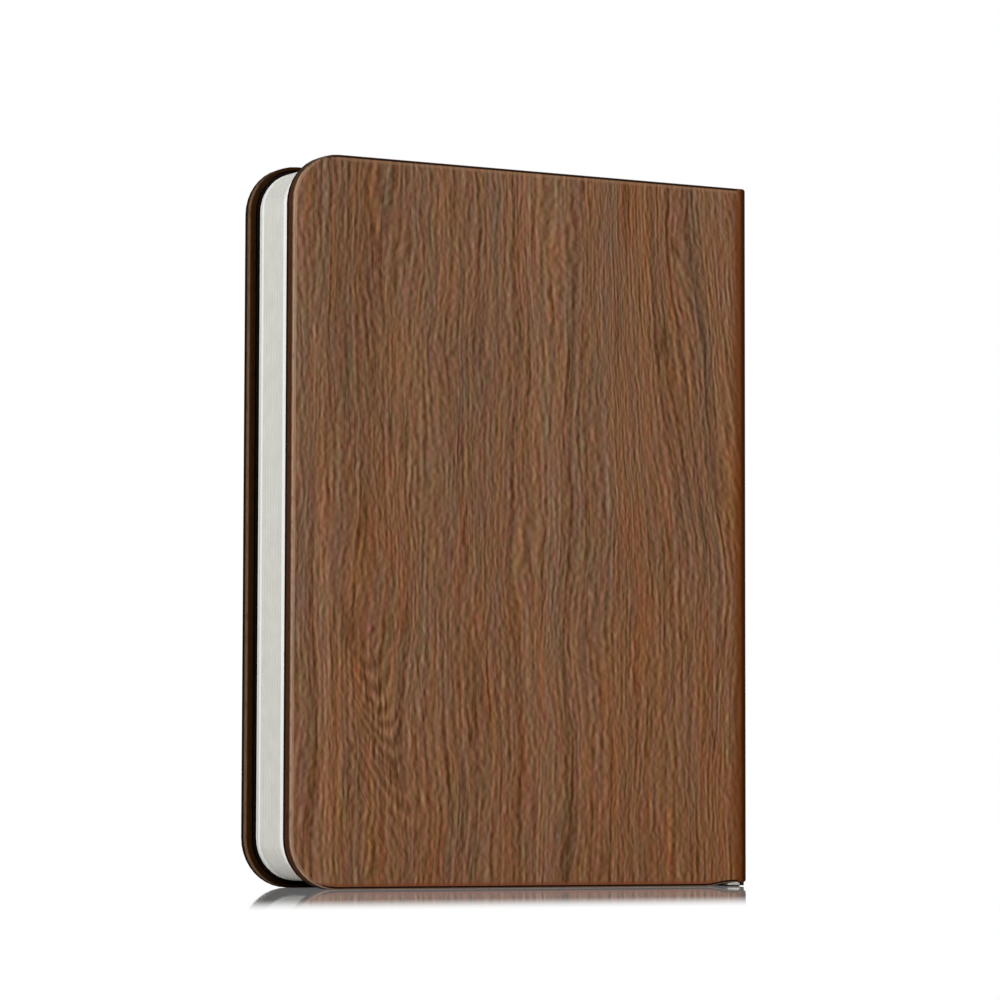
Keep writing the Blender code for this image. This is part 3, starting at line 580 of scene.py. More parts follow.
# How the growth lines stray: width and length of the marks in millimetres, seed, detail, and the millimetres
# between the farthest strays
WANDER_MARKS = (14.0, 42.0, 1.3, 1.5)
WANDER = 7.0
TREMBLE_MARKS = (1.8, 5.0, 4.1, 1.0)
TREMBLE = 0.7
LEAN = 9.0  # millimetres that the lines lean out high on the right
LEAN_ACROSS = (14.0, 32.0)  # where the lean sets in and where it is full, across the book and up it
LEAN_ALONG = (60.0, 140.0)

# Thin growth lines, which come and go: width and length of the marks in millimetres, seed
THIN_LINE_MARKS = (1.5, 60.0, 11.2)
THIN_LINE_WIDTH = 0.04  # as a difference from the middle of the noise
THIN_LINE_STRENGTH = -0.24
THIN_LINE_PATCHES = (4.0, 25.0, 2.9)
THIN_LINE_SHOWS = (0.42, 0.62)  # values of the patches' noise between which the lines come up

# Growth lines that stand out: place across the book and half width in millimetres, strength, and the heights
# between which each sets in
WALNUT_LINES = [
    (4.0, 4.0, 0.07, -10.0, 0.0),
    (-2.6, 0.8, -0.12, -10.0, 0.0),
    (10.0, 0.8, -0.16, -10.0, 0.0),
    (-45.5, 2.0, 0.12, 92.0, 60.0),
    (-47.9, 0.35, -0.30, 92.0, 60.0),
    (37.0, 0.45, -0.26, 60.0, 84.0),
    (39.4, 0.35, -0.22, 60.0, 84.0),
    (42.5, 0.45, -0.20, 60.0, 84.0),
    (47.6, 1.7, -0.14, 58.0, 84.0),
    (50.2, 0.30, 0.16, 58.0, 84.0),
]

# Darker patches: place across the book, height, half width and half length in millimetres, strength
WALNUT_SPOTS = [
    (-38.0, 118.0, 6.0, 40.0, -0.09),
    (-39.5, 52.0, 1.8, 6.5, -0.20),
    (-38.0, 73.0, 2.0, 8.0, -0.12),
    (-30.0, 24.0, 1.2, 3.6, -0.26),
    (-11.5, 110.0, 1.3, 9.0, -0.16),
    (9.5, 8.0, 1.4, 12.0, -0.16),
]
ARCH_ACROSS = -31.0  # middle of the arched figure low on the front, at the height ARCH_ALONG
ARCH_ALONG = 30.0
ARCH_LEAN = -0.30  # how its middle moves across with height
ARCH_BEND = 0.30
ARCH_SIZE = 2.2  # width of an arch's line
ARCH_LENGTH = 20.0
ARCH_SHIFT = ARCH_SIZE * 0.7  # from an arch's light side to its dark side
ARCH_SEED = 5.8
ARCH_TREMBLE = 3.0
ARCH_HALF_WIDTH = 10.0  # of the whole figure
ARCH_HALF_HEIGHT = 22.0
ARCH_STRENGTH = 0.6

# The wood is warmer towards the foot and the right: from where to where, and the change at both ends
WARMTH_ALONG = (145.0, 0.0, -0.10, 0.10)
WARMTH_ACROSS = (-55.0, 30.0, -0.08, 0.06)
STREAK_ACROSS = 47.6  # middle of a cool streak
STREAK_HALF = 2.4
STREAK_SETS_IN = (60.0, 100.0)  # heights
STREAK_WARMTH = -0.22


def thin_lines(tree, line, fibre, along):
    """Where the thin growth lines are, from 0 to 1."""
    course = marks(tree, fibre, along, *THIN_LINE_MARKS)
    off_course = calculate(tree, "ABSOLUTE", minus(tree, course, 0.5))
    shows = ease(tree, marks(tree, line, along, *THIN_LINE_PATCHES), *THIN_LINE_SHOWS)
    return times(tree, ease(tree, off_course, 0.0, THIN_LINE_WIDTH, 1.0, 0.0), shows)


def walnut_arches(tree, across, along, tremble):
    """The arched figure: lines that run down to a point and up again."""
    middle = calculate(tree, "MULTIPLY_ADD", along, ARCH_LEAN, ARCH_ACROSS - ARCH_LEAN * ARCH_ALONG)
    aside = minus(tree, across, middle)
    arch = calculate(tree, "MULTIPLY_ADD", times(tree, aside, aside), -ARCH_BEND, along)
    arch = calculate(tree, "MULTIPLY_ADD", tremble, ARCH_TREMBLE, arch)
    beside = add(tree, arch, ARCH_SHIFT)
    light = marks(tree, aside, arch, ARCH_LENGTH, ARCH_SIZE, ARCH_SEED)
    dark = marks(tree, aside, beside, ARCH_LENGTH, ARCH_SIZE, ARCH_SEED)
    zone_across = hump(tree, across, ARCH_ACROSS, ARCH_HALF_WIDTH)
    zone_along = hump(tree, along, ARCH_ALONG, ARCH_HALF_HEIGHT)
    return times(tree, minus(tree, light, dark), times(tree, zone_across, zone_along))


def walnut_tone(tree, across, along, line, fibre, tremble):
    """How light the wood is."""
    tone = 0.5
    for width, length, detail, strength, seed in WALNUT_BANDS:
        layer = marks(tree, line, along, width, length, seed, detail)
        tone = add(tree, tone, swing(tree, layer, strength))
    beside = add(tree, fibre, FIBRE_SHIFT)
    for width, length, strength, seed in WALNUT_FIBRES:
        light = marks(tree, fibre, along, width, length, seed)
        dark = marks(tree, beside, along, width, length, seed)
        tone = calculate(tree, "MULTIPLY_ADD", minus(tree, light, dark), strength, tone)
    tone = add(tree, tone, times(tree, thin_lines(tree, line, fibre, along), THIN_LINE_STRENGTH))
    for centre, half_width, strength, fades_from, fades_to in WALNUT_LINES:
        band = times(tree, hump(tree, line, centre, half_width), ease(tree, along, fades_from, fades_to))
        tone = add(tree, tone, times(tree, band, strength))
    for centre, height, half_width, half_length, strength in WALNUT_SPOTS:
        spot = times(tree, hump(tree, line, centre, half_width), hump(tree, along, height, half_length))
        tone = add(tree, tone, times(tree, spot, strength))
    arches = walnut_arches(tree, across, along, tremble)
    return calculate(tree, "MULTIPLY_ADD", arches, ARCH_STRENGTH, tone)


def walnut_warmth(tree, across, along, line):
    """How red or green the wood is."""
    warmth = 0.5
    for width, length, strength, seed in WALNUT_HUES:
        layer = marks(tree, line, along, width, length, seed, detail=1.0)
        warmth = add(tree, warmth, swing(tree, layer, strength))
    warmth = add(tree, warmth, ease(tree, along, *WARMTH_ALONG))
    warmth = add(tree, warmth, ease(tree, across, *WARMTH_ACROSS))
    streak = times(tree, ease(tree, along, *STREAK_SETS_IN), hump(tree, line, STREAK_ACROSS, STREAK_HALF))
    return add(tree, warmth, times(tree, streak, STREAK_WARMTH))


def walnut_pinkness(tree, along, fibre):
    """How pink or olive the wood is."""
    pinkness = 0.5
    for width, length, strength, seed in WALNUT_SPECKS:
        layer = marks(tree, fibre, along, width, length, seed)
        pinkness = add(tree, pinkness, swing(tree, layer, strength))
    return pinkness


def make_walnut_figure():
    """Walnut grain that runs up the sheet.

    Across is the direction round the book, and Start is where the sheet begins on the way round.
    """
    tree, given, result = new_group(
        "walnut_figure",
        [
            ("Place", "NodeSocketVector", None),
            ("Across", "NodeSocketVector", (1.0, 0.0, 0.0)),
            ("Start", "NodeSocketFloat", 0.0),
        ],
        [("Tone", "NodeSocketFloat"), ("Warmth", "NodeSocketFloat"), ("Pinkness", "NodeSocketFloat")],
    )
    dot = tree.nodes.new("ShaderNodeVectorMath")
    dot.operation = "DOT_PRODUCT"
    tree.links.new(given["Place"], dot.inputs[0])
    tree.links.new(given["Across"], dot.inputs[1])
    across = add(tree, times(tree, dot.outputs["Value"], 1 / MM), given["Start"])
    along = times(tree, split(tree, given["Place"])["Z"], 1 / MM)

    # The lines wander and lean, and the fibres tremble about them
    line = add(tree, across, swing(tree, marks(tree, across, along, *WANDER_MARKS), WANDER))
    lean = times(tree, ease(tree, across, *LEAN_ACROSS), ease(tree, along, *LEAN_ALONG, to_high=LEAN))
    line = add(tree, line, lean)
    tremble = marks(tree, across, along, *TREMBLE_MARKS)
    fibre = add(tree, line, swing(tree, tremble, TREMBLE))

    feed(tree, result["Tone"], walnut_tone(tree, across, along, line, fibre, tremble))
    feed(tree, result["Warmth"], walnut_warmth(tree, across, along, line))
    feed(tree, result["Pinkness"], walnut_pinkness(tree, along, fibre))
    return tree


def make_paper_fibres():
    """Soft cloudiness and short fibres of matt paper or board."""
    tree, given, result = new_group(
        "paper_fibres",
        [("Place", "NodeSocketVector", None), ("Size", "NodeSocketFloat", 1.0)],
        [("Clouds", "NodeSocketFloat"), ("Height", "NodeSocketFloat")],
    )
    place = scaled(tree, given["Place"], calculate(tree, "DIVIDE", 1 / MM, given["Size"]))
    clouds = noise(tree, place, detail=3.0, scale=0.3)
    fine = noise(tree, place, detail=3.0, roughness=0.65, distortion=0.6, scale=2.6)
    feed(tree, result["Clouds"], clouds)
    feed(tree, result["Height"], fine)
    return tree


def make_moulded_grain():
    """Fine spark-eroded texture of a moulded plastic part."""
    tree, given, result = new_group(
        "moulded_grain",
        [("Place", "NodeSocketVector", None)],
        [("Speckle", "NodeSocketFloat"), ("Flow", "NodeSocketFloat")],
    )
    place = scaled(tree, given["Place"], 1 / MM)
    feed(tree, result["Speckle"], noise(tree, place, detail=2.0, scale=5.0))
    feed(tree, result["Flow"], noise(tree, place, detail=1.0, distortion=0.8, scale=0.22))
    return tree


walnut_figure = make_walnut_figure()
paper_fibres = make_paper_fibres()
moulded_grain = make_moulded_grain()


# Finishes

def new_finish(name, roughness, colour=(0.8, 0.8, 0.8), specular=0.5, metallic=0.0):
    """A material with one Principled shader. Gives the material, its tree and the shader."""
    material = bpy.data.materials.new(name)
    material.use_nodes = True
    tree = material.node_tree
    shader = tree.nodes["Principled BSDF"]
    shader.inputs["Base Color"].default_value = (*colour, 1.0)
    shader.inputs["Roughness"].default_value = roughness
    shader.inputs["Specular IOR Level"].default_value = specular
    shader.inputs["Metallic"].default_value = metallic
    return material, tree, shader


def own_place(tree):
    """The point on the piece itself, so that a finish moves with its piece."""
    return tree.nodes.new("ShaderNodeTexCoord").outputs["Object"]


def rest_place(tree):
    """The point as it was before a bending piece bent."""
    attribute = tree.nodes.new("ShaderNodeAttribute")
    attribute.attribute_name = "rest_place"
    return attribute.outputs["Vector"]


def bump(tree, shader, height, distance, strength):
    """Raises the surface by the height, at most by the distance."""
    node = tree.nodes.new("ShaderNodeBump")
    node.inputs["Strength"].default_value = strength
    node.inputs["Distance"].default_value = distance
    feed(tree, node.inputs["Height"], height)
    tree.links.new(node.outputs["Normal"], shader.inputs["Normal"])


WALNUT_TONES = [
    (0.0, (0.076, 0.031, 0.012)),
    (0.25, (0.130, 0.058, 0.026)),
    (0.5, (0.196, 0.094, 0.048)),
    (0.75, (0.270, 0.138, 0.075)),
    (1.0, (0.365, 0.202, 0.118)),
]
WALNUT_COOL = (0.78, 1.03, 1.36)
WALNUT_WARM = (1.22, 0.97, 0.64)
WALNUT_OLIVE = (0.93, 1.10, 0.93)
WALNUT_PINK = (1.07, 0.90, 1.07)
# Tan of the fore edge's arris: wear, and a painted highlight where the arris catches the side light
ARRIS_WEAR_AND_HIGHLIGHT = (0.42, 0.27, 0.18)
# Painted highlight just below the covers' upper arris
ARRIS_HIGHLIGHT = (0.30, 0.165, 0.090)
ARRIS_DARK = (0.018, 0.008, 0.004)
ARRIS_RED = (0.195, 0.060, 0.026)
# Black of the edge's mottle, and painted shade in the front and back edge courses
EDGE_BLACK = (0.006, 0.002, 0.001)
EDGE_RED = (0.062, 0.022, 0.007)
# Umber of the turned edge; on the back cover's edge it is also painted shade
EDGE_UMBER = (0.024, 0.008, 0.001)
# Painted highlight on the ridge of the back cover's rounded edge
EDGE_HIGHLIGHT = (0.165, 0.088, 0.045)
# Redder, darker film towards the crease: wear of the bent film and painted shade
CREASE_WEAR_AND_SHADE = (0.125, 0.029, 0.001)
# Painted shade where the crease film turns round towards the spine
CREASE_SHADE = (0.040, 0.010, 0.001)

# Colours across a turned edge, from the pages outwards: distance from the book's middle, colour. Besides the
# film's own red and umber, they hold painted light and shade.
# Front: the black band beside the pages is painted shade, the red is the film's own, and the last stop is
# wear with a painted highlight
FRONT_EDGE = [
    (8.6 * MM, EDGE_BLACK),
    (9.1 * MM, EDGE_RED),
    (10.4 * MM, EDGE_RED),
    (11.15 * MM, ARRIS_WEAR_AND_HIGHLIGHT),
]
# Back: the brown ridge is a painted highlight, and the umber and black bands to either side are painted
# shade
BACK_EDGE = [
    (7.7 * MM, EDGE_UMBER),
    (8.3 * MM, EDGE_UMBER),
    (8.9 * MM, EDGE_HIGHLIGHT),
    (9.5 * MM, EDGE_HIGHLIGHT),
    (10.15 * MM, EDGE_BLACK),
]
SPINE_EDGE = [(0.0, EDGE_UMBER), (9.0 * MM, EDGE_UMBER)]
EDGE_MOTTLE = (0.5 * MM, 2.2 * MM, 5.1, 2.0)  # width and length of its marks, seed, detail
EDGE_MOTTLE_LEVELS = (0.45, 0.75)  # values of the noise between which the marks come up
EDGE_MOTTLE_SHARE = 0.5

# Across the book, where the film begins to turn redder and darker towards the crease, from wear and painted
# shade, and then to darken with painted shade towards the spine
CREASE_TINT_START = 48.3 * MM
CREASE_TINT_FULL = 50.4 * MM
CREASE_TINT_SHARE = 0.75
CREASE_SHADE_START = 50.5 * MM
CREASE_SHADE_FULL = 51.6 * MM

# Lines beside the covers' arrises: a painted highlight below the upper one, and a red line along the foot
HIGHLIGHT_LINE_DROP = 0.85 * MM  # from the top of the covers to the light line below their arris
HIGHLIGHT_LINE_HALF = 0.3 * MM
HIGHLIGHT_LINE_START = -46.0 * MM  # across the book
HIGHLIGHT_LINE_FULL = -42.0 * MM
HIGHLIGHT_LINE_SHARE = 0.5
RED_LINE_HEIGHT = 0.75 * MM  # of the red line along the covers' foot
RED_LINE_HALF = 0.4 * MM
RED_LINE_SHARE = 0.85

# The surface's normal where an effect sets in and where it is full
ARRIS_ROUNDS = (0.999, 0.96)  # its outward part, 1 on the flat of the face
ARRIS_LEAVES_FORE_EDGE = (-0.25, -0.05)  # its X part, -1 at the fore edge
EDGE_TURNS = (0.62, 0.36)  # outward
EDGE_FACES_FORE = (-0.30, -0.62)  # X
EDGE_FACES_UP = (0.45, 0.8)  # Z
EDGE_TOP_SHARE = 0.8
# The fore edge's arris, with its wear and its painted highlight
WEAR_HIGHLIGHT_BEGINS = (0.985, 0.85)  # outward
WEAR_HIGHLIGHT_ENDS = (0.40, 0.55)  # outward
WEAR_HIGHLIGHT_FACES_FORE = (-0.02, -0.30)  # X
WEAR_HIGHLIGHT_SHARE = 0.85

VENEER_ROUGHNESS = 0.6
VENEER_SPECULAR = 0.015
VENEER_RELIEF = 0.03 * MM
VENEER_BUMP = 0.5


def walnut_colour(tree, place, across, start):
    """The colour of the veneer at a point, and its tone, which also gives its relief."""
    figure = use_group(tree, walnut_figure, Place=place, Across=across, Start=start)
    colour = ramp(tree, figure["Tone"], WALNUT_TONES)
    tint = blend_colours(tree, figure["Warmth"], WALNUT_COOL, WALNUT_WARM)
    colour = blend_colours(tree, 1.0, colour, tint, kind="MULTIPLY")
    tint = blend_colours(tree, figure["Pinkness"], WALNUT_OLIVE, WALNUT_PINK)
    return blend_colours(tree, 1.0, colour, tint, kind="MULTIPLY"), figure["Tone"]


def add_crease_wear_and_shade(tree, colour, x):
    """Adds the redder, darker film towards the crease: wear of the bent film and painted shade."""
    near_crease = ease(tree, x, CREASE_TINT_START, CREASE_TINT_FULL, to_high=CREASE_TINT_SHARE)
    return blend_colours(tree, near_crease, colour, CREASE_WEAR_AND_SHADE)


def add_arris(tree, colour, axes, facing, straight):
    """Adds the painted highlight line below the upper arris, the red one along the foot, and the dark arris
    itself.
    """
    # A painted highlight just below the upper arris
    light = hump(tree, axes["Z"], cad_high.z - HIGHLIGHT_LINE_DROP, HIGHLIGHT_LINE_HALF)
    light = times(tree, light, ease(tree, axes["X"], HIGHLIGHT_LINE_START, HIGHLIGHT_LINE_FULL))
    colour = blend_colours(tree, times(tree, light, HIGHLIGHT_LINE_SHARE), colour, ARRIS_HIGHLIGHT)
    foot = hump(tree, axes["Z"], RED_LINE_HEIGHT, RED_LINE_HALF)
    colour = blend_colours(tree, times(tree, foot, RED_LINE_SHARE), colour, ARRIS_RED)
    dark = ease(tree, straight, *ARRIS_ROUNDS)
    dark = times(tree, dark, ease(tree, facing["X"], *ARRIS_LEAVES_FORE_EDGE))
    return blend_colours(tree, dark, colour, ARRIS_DARK)


def edge_colour(tree, axes, courses):
    """The colour across a turned edge, with its painted light and shade, mottled."""
    depth = calculate(tree, "ABSOLUTE", axes["Y"])
    mottle = marks(tree, axes["Y"], axes["Z"], *EDGE_MOTTLE)
    colour = courses[0][1]
    for (place, _), (next_place, next_colour) in zip(courses, courses[1:]):
        colour = blend_colours(tree, ease(tree, depth, place, next_place), colour, next_colour)
    mottled = ease(tree, mottle, *EDGE_MOTTLE_LEVELS, to_high=EDGE_MOTTLE_SHARE)
    return blend_colours(tree, mottled, colour, EDGE_BLACK)


def add_turned_edge(tree, colour, axes, facing, straight, courses):
    """Adds the turned edge, which is darker on top, and the worn line along the fore edge's arris, which is
    wear and a painted highlight.
    """
    upper = times(tree, ease(tree, facing["Z"], *EDGE_FACES_UP), EDGE_TOP_SHARE)
    edge = blend_colours(tree, upper, edge_colour(tree, axes, courses), ARRIS_DARK)
    sideways = ease(tree, facing["X"], *EDGE_FACES_FORE)
    turned = calculate(tree, "MAXIMUM", ease(tree, straight, *EDGE_TURNS), sideways)
    colour = blend_colours(tree, turned, colour, edge)
    # Wear and a painted highlight along the fore edge's arris
    worn = times(tree, ease(tree, straight, *WEAR_HIGHLIGHT_BEGINS), ease(tree, straight, *WEAR_HIGHLIGHT_ENDS))
    worn = times(tree, worn, ease(tree, facing["X"], *WEAR_HIGHLIGHT_FACES_FORE))
    return blend_colours(tree, times(tree, worn, WEAR_HIGHLIGHT_SHARE), colour, ARRIS_WEAR_AND_HIGHLIGHT)


def make_walnut_skin(name, across, start, outward, courses):
    """Veneer of a cover or the spine: figured on its face, dark on its turned edges, worn at the fore edge,
    where a painted highlight lies on the wear.

    Outward is the way the face looks, as an axis and its sign. Courses are the turned edge's colours, with
    painted light and shade.
    """
    material, tree, shader = new_finish(name, VENEER_ROUGHNESS, specular=VENEER_SPECULAR)
    place = own_place(tree)
    axes = split(tree, place)
    facing = split(tree, tree.nodes.new("ShaderNodeTexCoord").outputs["Normal"])
    axis, sign = outward
    straight = times(tree, facing[axis], sign)
    colour, tone = walnut_colour(tree, place, across, start)
    if axis == "Y":
        colour = add_crease_wear_and_shade(tree, colour, axes["X"])
    colour = add_arris(tree, colour, axes, facing, straight)
    colour = add_turned_edge(tree, colour, axes, facing, straight, courses)
    feed(tree, shader.inputs["Base Color"], colour)
    feed(tree, shader.inputs["Roughness"], ease(tree, tone, 0.2, 0.9, 0.68, 0.54))
    bump(tree, shader, tone, VENEER_RELIEF, VENEER_BUMP)
    return material


def make_crease_finish(name, across, start):
    """Veneer film over the crease. It turns redder and darker where it is bent, from wear and painted shade,
    and darkens towards the spine with painted shade.
    """
    material, tree, shader = new_finish(name, VENEER_ROUGHNESS, specular=VENEER_SPECULAR)
    place = rest_place(tree)
    x = split(tree, place)["X"]
    colour, tone = walnut_colour(tree, place, across, start)
    colour = add_crease_wear_and_shade(tree, colour, x)
    # Painted shade where the film turns round towards the spine
    colour = blend_colours(tree, ease(tree, x, CREASE_SHADE_START, CREASE_SHADE_FULL), colour, CREASE_SHADE)
    feed(tree, shader.inputs["Base Color"], colour)
    bump(tree, shader, tone, VENEER_RELIEF, VENEER_BUMP)
    return material


CLOTH_DARK = (0.012, 0.008, 0.006)
CLOTH_LIGHT = (0.032, 0.020, 0.014)


def make_backing_cloth():
    """Dark woven strip behind the crease."""
    material, tree, shader = new_finish("crease_cloth", 0.9, specular=0.2)
    grain = use_group(tree, paper_fibres, Place=own_place(tree), Size=0.4)
    colour = ramp(tree, grain["Height"], [(0.35, CLOTH_DARK), (0.65, CLOTH_LIGHT)])
    feed(tree, shader.inputs["Base Color"], colour)
    bump(tree, shader, grain["Height"], distance=0.04 * MM, strength=1.0)
    return material


FIBRE_SHARE = 0.4  # of a paper's colour, next to its clouds


def paper_colour(tree, place, size, dark, light):
    """The colour of matt paper at a point, and the height of its fibres."""
    grain = use_group(tree, paper_fibres, Place=place, Size=size)
    clouds = times(tree, grain["Clouds"], 1 - FIBRE_SHARE)
    mixed = calculate(tree, "MULTIPLY_ADD", grain["Height"], FIBRE_SHARE, clouds)
    return shade(tree, mixed, dark, light), grain["Height"]


def make_paper(name, dark, light, roughness, size, relief, specular=0.25):
    """Matt paper or board with fibres."""
    material, tree, shader = new_finish(name, roughness, specular=specular)
    colour, height = paper_colour(tree, own_place(tree), size, dark, light)
    feed(tree, shader.inputs["Base Color"], colour)
    bump(tree, shader, height, relief, strength=0.6)
    return material


PAGE_SHADE = (0.66, 0.655, 0.60)
PAGE_LIGHT = (0.75, 0.745, 0.69)
PAGE_WHITE = (0.97, 0.97, 0.94)
BACK_WHITE = (5.5 * MM, 5.8 * MM)  # through the stack, where the back's whiter sheets begin
FRONT_WHITE = (-3.3 * MM, -3.6 * MM)


def make_page_paper():
    """The folded paper. The outer sheets of the stack are whiter."""
    material, tree, shader = new_finish("page_paper", 0.85, specular=0.15)
    place = rest_place(tree)
    colour, height = paper_colour(tree, place, 1.0, PAGE_SHADE, PAGE_LIGHT)
    y = split(tree, place)["Y"]
    outer = calculate(tree, "MAXIMUM", ease(tree, y, *BACK_WHITE), ease(tree, y, *FRONT_WHITE))
    feed(tree, shader.inputs["Base Color"], blend_colours(tree, outer, colour, PAGE_WHITE))
    bump(tree, shader, height, distance=0.01 * MM, strength=0.6)
    return material


def make_plastic(name, dark, light, roughness):
    """Moulded plastic with a fine grain."""
    material, tree, shader = new_finish(name, roughness)
    grain = use_group(tree, moulded_grain, Place=own_place(tree))
    feed(tree, shader.inputs["Base Color"], shade(tree, grain["Flow"], dark, light))
    feed(tree, shader.inputs["Roughness"], swing(tree, grain["Speckle"], 0.12, about=roughness))
    bump(tree, shader, grain["Speckle"], distance=0.01 * MM, strength=0.5)
    return material


# The lip is white plastic; these greyer colours are painted shade under the heels
LIP_SHADE = (0.50, 0.46, 0.41)
LIP_LIGHT = (0.60, 0.56, 0.50)
# Painted contact shadow along the lip's foot
LIP_PAINTED_SHADOW = (0.02, 0.014, 0.010)
LIP_SHADOW_HEIGHTS = (0.40 * MM, 0.22 * MM)  # heights where the painted shadow begins and where it covers the lip


def make_lip_plastic():
    """White plastic of the lip, greyed as painted shade under the heels, with a painted contact shadow along
    its foot.
    """
    material, tree, shader = new_finish("lip_plastic", 0.6, specular=0.1)
    place = own_place(tree)
    grain = use_group(tree, moulded_grain, Place=place)
    clean = shade(tree, grain["Flow"], LIP_SHADE, LIP_LIGHT)
    shadowed = ease(tree, split(tree, place)["Z"], *LIP_SHADOW_HEIGHTS)
    feed(tree, shader.inputs["Base Color"], blend_colours(tree, shadowed, clean, LIP_PAINTED_SHADOW))
    bump(tree, shader, grain["Speckle"], distance=0.01 * MM, strength=0.5)
    return material


def make_metal(name, dark, light, roughness):
    """Plated metal, slightly clouded."""
    material, tree, shader = new_finish(name, roughness, metallic=1.0)
    grain = use_group(tree, moulded_grain, Place=own_place(tree))
    feed(tree, shader.inputs["Base Color"], shade(tree, grain["Flow"], dark, light))
    feed(tree, shader.inputs["Roughness"], swing(tree, grain["Flow"], 0.14, about=roughness))
    bump(tree, shader, grain["Speckle"], distance=0.006 * MM, strength=0.4)
    return material


def dress(finish, *nodes):
    """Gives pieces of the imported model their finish."""
    for name in nodes:
        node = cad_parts[name]
        node.data.materials.clear()
        node.data.materials.append(finish)


# The figure runs on round the book: right along the front cover, round the spine, and back along the other
book_depth = (cad_high.y - cad_low.y) / MM
half_depth = book_depth / 2
spine_x = cad_high.x / MM
spine_start = spine_x + half_depth
back_start = 2 * spine_x + book_depth

page_paper = make_page_paper()
end_paper = make_paper(
    "end_paper", (0.90, 0.90, 0.86), (0.95, 0.95, 0.92), roughness=0.8, size=1.0, relief=0.01 * MM,
)
grey_board = make_paper(
    "grey_board", (0.16, 0.15, 0.13), (0.30, 0.28, 0.25), roughness=0.9, size=0.6, relief=0.03 * MM,
)
# The liner's near-black colour is painted shade in the covers' recess beside the pages
liner_paper = make_paper(
    "liner_paper", (0.004, 0.002, 0.001), (0.010, 0.006, 0.004), roughness=0.8, size=0.8, relief=0.02 * MM,
    specular=0.04,
)
front_skin = make_walnut_skin("walnut_front", (1.0, 0.0, 0.0), 0.0, ("Y", -1.0), FRONT_EDGE)
spine_skin = make_walnut_skin("walnut_spine", (0.0, 1.0, 0.0), spine_start, ("X", 1.0), SPINE_EDGE)
back_skin = make_walnut_skin("walnut_back", (-1.0, 0.0, 0.0), back_start, ("Y", 1.0), BACK_EDGE)
dress(front_skin, "front_cover_skin")
dress(spine_skin, "spine_skin")
dress(back_skin, "back_cover_skin")
dress(grey_board, "front_cover_board", "back_cover_board", "spine_board")
dress(liner_paper, "front_cover_liner", "back_cover_liner")
dress(end_paper, "front_end_page", "back_end_page")

housing = make_plastic("housing_plastic", (0.60, 0.60, 0.57), (0.66, 0.66, 0.63), 0.45)
opal = make_plastic("opal_plastic", (0.84, 0.83, 0.80), (0.88, 0.87, 0.84), 0.38)
board_white = make_plastic("lamp_board_white", (0.78, 0.78, 0.75), (0.82, 0.82, 0.79), 0.4)
circuit_green = make_plastic("circuit_green", (0.012, 0.070, 0.030), (0.020, 0.100, 0.045), 0.35)
battery_foil = make_metal("battery_foil", (0.52, 0.53, 0.54), (0.66, 0.67, 0.68), 0.35)
steel = make_metal("plated_steel", (0.58, 0.58, 0.57), (0.68, 0.68, 0.67), 0.28)
pipe = make_plastic("clear_pipe", (0.80, 0.82, 0.82), (0.86, 0.88, 0.88), 0.15)
chip_black = make_plastic("chip_black", (0.010, 0.010, 0.011), (0.020, 0.020, 0.022), 0.5)
red_lead = make_plastic("red_lead", (0.30, 0.012, 0.010), (0.38, 0.020, 0.015), 0.4)
black_lead = make_plastic("black_lead", (0.010, 0.010, 0.010), (0.020, 0.020, 0.020), 0.4)

dress(housing, "housing_tray", "housing_cap_top", "housing_cap_bottom")
dress(opal, "diffuser")
dress(board_white, "lamp_board")
dress(circuit_green, "control_board")
dress(battery_foil, "battery_cell")
dress(steel, "charging_socket", "tray_screw_upper", "tray_screw_lower", "front_magnet_upper")
dress(steel, "front_magnet_lower", "back_magnet_upper", "back_magnet_lower", "switch_magnet")
dress(pipe, "light_pipe")
dress(chip_black, "magnet_sensor")
dress(red_lead, "cell_lead_plus", "lamp_lead_plus")
dress(black_lead, "cell_lead_minus", "lamp_lead_minus")

cloth = make_backing_cloth()
front_crease = make_crease_finish("walnut_front_crease", (1.0, 1.0, 0.0), half_depth)
back_crease = make_crease_finish("walnut_back_crease", (-1.0, 1.0, 0.0), back_start - half_depth)
dress_crease("front", -1, front_crease, cloth)
dress_crease("back", 1, back_crease, cloth)
dress_cap_lip(make_lip_plastic())
dress_pages(page_paper)


# Floor, lamps and camera

FLOOR_HALF = 6.0
FLOOR_SQUEEZE = 0.5  # across the book, the fade runs out twice as far
FLOOR_FADE = (0.070, 0.146)  # distance from the book where the floor begins to turn white and where it is
FLOOR_WHITE_NEAR = 0.09  # share of white under the book
WORLD_STRENGTH = 0.5  # where it lights the book, and 1 where it is seen


def light_path_white(tree):
    """1 where the camera, a reflection or a clear part looks, and 0 where light bounces."""
    path = tree.nodes.new("ShaderNodeLightPath")
    seen = calculate(tree, "MAXIMUM", path.outputs["Is Camera Ray"], path.outputs["Is Glossy Ray"])
    return calculate(tree, "MAXIMUM", seen, path.outputs["Is Transmission Ray"])


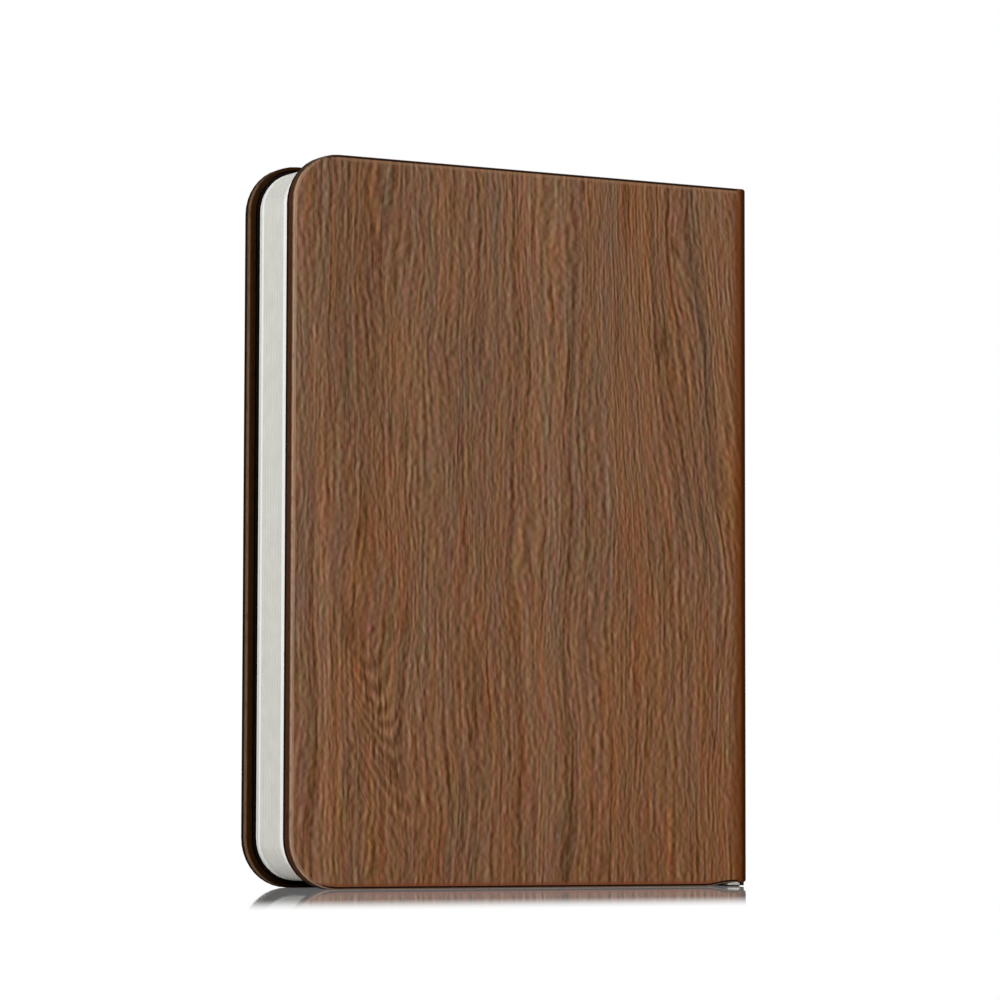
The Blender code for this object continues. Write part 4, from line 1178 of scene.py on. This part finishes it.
def make_floor():
    """A white glossy floor. Near the book it shows the shadow and a reflection that fades with distance."""
    mesh = bpy.data.meshes.new("floor")
    corners = [(x * FLOOR_HALF, y * FLOOR_HALF, 0) for x, y in ((-1, -1), (1, -1), (1, 1), (-1, 1))]
    mesh.from_pydata(corners, [], [(0, 1, 2, 3)])
    floor = bpy.data.objects.new("floor", mesh)
    bpy.context.scene.collection.objects.link(floor)
    material, tree, shader = new_finish("white_floor", 0.05, colour=(0.94, 0.94, 0.94))
    shader.inputs["Coat Weight"].default_value = 1.0
    shader.inputs["Coat Roughness"].default_value = 0.03
    axes = split(tree, own_place(tree))
    beyond_x = minus(tree, calculate(tree, "ABSOLUTE", axes["X"]), cad_high.x)
    beyond_x = times(tree, calculate(tree, "MAXIMUM", beyond_x, 0.0), FLOOR_SQUEEZE)
    beyond_y = minus(tree, calculate(tree, "ABSOLUTE", axes["Y"]), cad_high.y)
    beyond_y = calculate(tree, "MAXIMUM", beyond_y, 0.0)
    away = add(tree, times(tree, beyond_x, beyond_x), times(tree, beyond_y, beyond_y))
    away = calculate(tree, "SQRT", away)
    white = tree.nodes.new("ShaderNodeEmission")
    white.inputs["Color"].default_value = (1.0, 1.0, 1.0, 1.0)
    mix = tree.nodes.new("ShaderNodeMixShader")
    share = ease(tree, away, *FLOOR_FADE, to_low=FLOOR_WHITE_NEAR)
    feed(tree, mix.inputs["Fac"], times(tree, share, light_path_white(tree)))
    tree.links.new(shader.outputs["BSDF"], mix.inputs[1])
    tree.links.new(white.outputs["Emission"], mix.inputs[2])
    tree.links.new(mix.outputs["Shader"], tree.nodes["Material Output"].inputs["Surface"])
    mesh.materials.append(material)


def make_world():
    """Even studio light, with white wherever it is seen."""
    world = bpy.data.worlds.new("studio")
    bpy.context.scene.world = world
    world.use_nodes = True
    tree = world.node_tree
    background = tree.nodes["Background"]
    background.inputs["Color"].default_value = (1.0, 1.0, 1.0, 1.0)
    strength = ease(tree, light_path_white(tree), 0.0, 1.0, to_low=WORLD_STRENGTH)
    feed(tree, background.inputs["Strength"], strength)


def add_softbox(name, azimuth, elevation, distance, size, power):
    """A square lamp that faces the book. Azimuth 0 is before the front cover, and minus is to its left."""
    lamp = bpy.data.lights.new(name, "AREA")
    lamp.shape = "SQUARE"
    lamp.size = size
    lamp.energy = power
    holder = bpy.data.objects.new(name, lamp)
    turn = math.radians(azimuth)
    rise = math.radians(elevation)
    back = Vector((math.sin(turn) * math.cos(rise), -math.cos(turn) * math.cos(rise), math.sin(rise)))
    holder.location = back * distance + Vector((0, 0, cad_high.z / 2))
    holder.rotation_euler = back.to_track_quat("Z", "Y").to_euler()
    bpy.context.scene.collection.objects.link(holder)


def add_camera():
    """The camera at the photograph's viewing angle."""
    lens = bpy.data.cameras.new("photo_camera")
    lens.lens = CAMERA_LENS
    lens.clip_start = CAMERA_NEAR
    lens.clip_end = CAMERA_FAR
    camera = bpy.data.objects.new("photo_camera", lens)
    back = Vector((math.sin(CAMERA_AZIMUTH), -math.cos(CAMERA_AZIMUTH), 0))
    right = Vector((math.cos(CAMERA_AZIMUTH), math.sin(CAMERA_AZIMUTH), 0))
    camera.location = back * CAMERA_DISTANCE + right * CAMERA_ASIDE + Vector((0, 0, CAMERA_HEIGHT))
    camera.rotation_euler = (math.pi / 2 + CAMERA_PITCH, CAMERA_ROLL, CAMERA_AZIMUTH)
    bpy.context.scene.collection.objects.link(camera)
    bpy.context.scene.camera = camera


make_floor()
make_world()
add_softbox("front_softbox", azimuth=10.0, elevation=38.0, distance=1.0, size=0.8, power=4.2)
add_softbox("side_softbox", azimuth=-85.0, elevation=25.0, distance=0.9, size=0.6, power=2.6)
add_camera()
bpy.context.scene.view_settings.view_transform = "Standard"
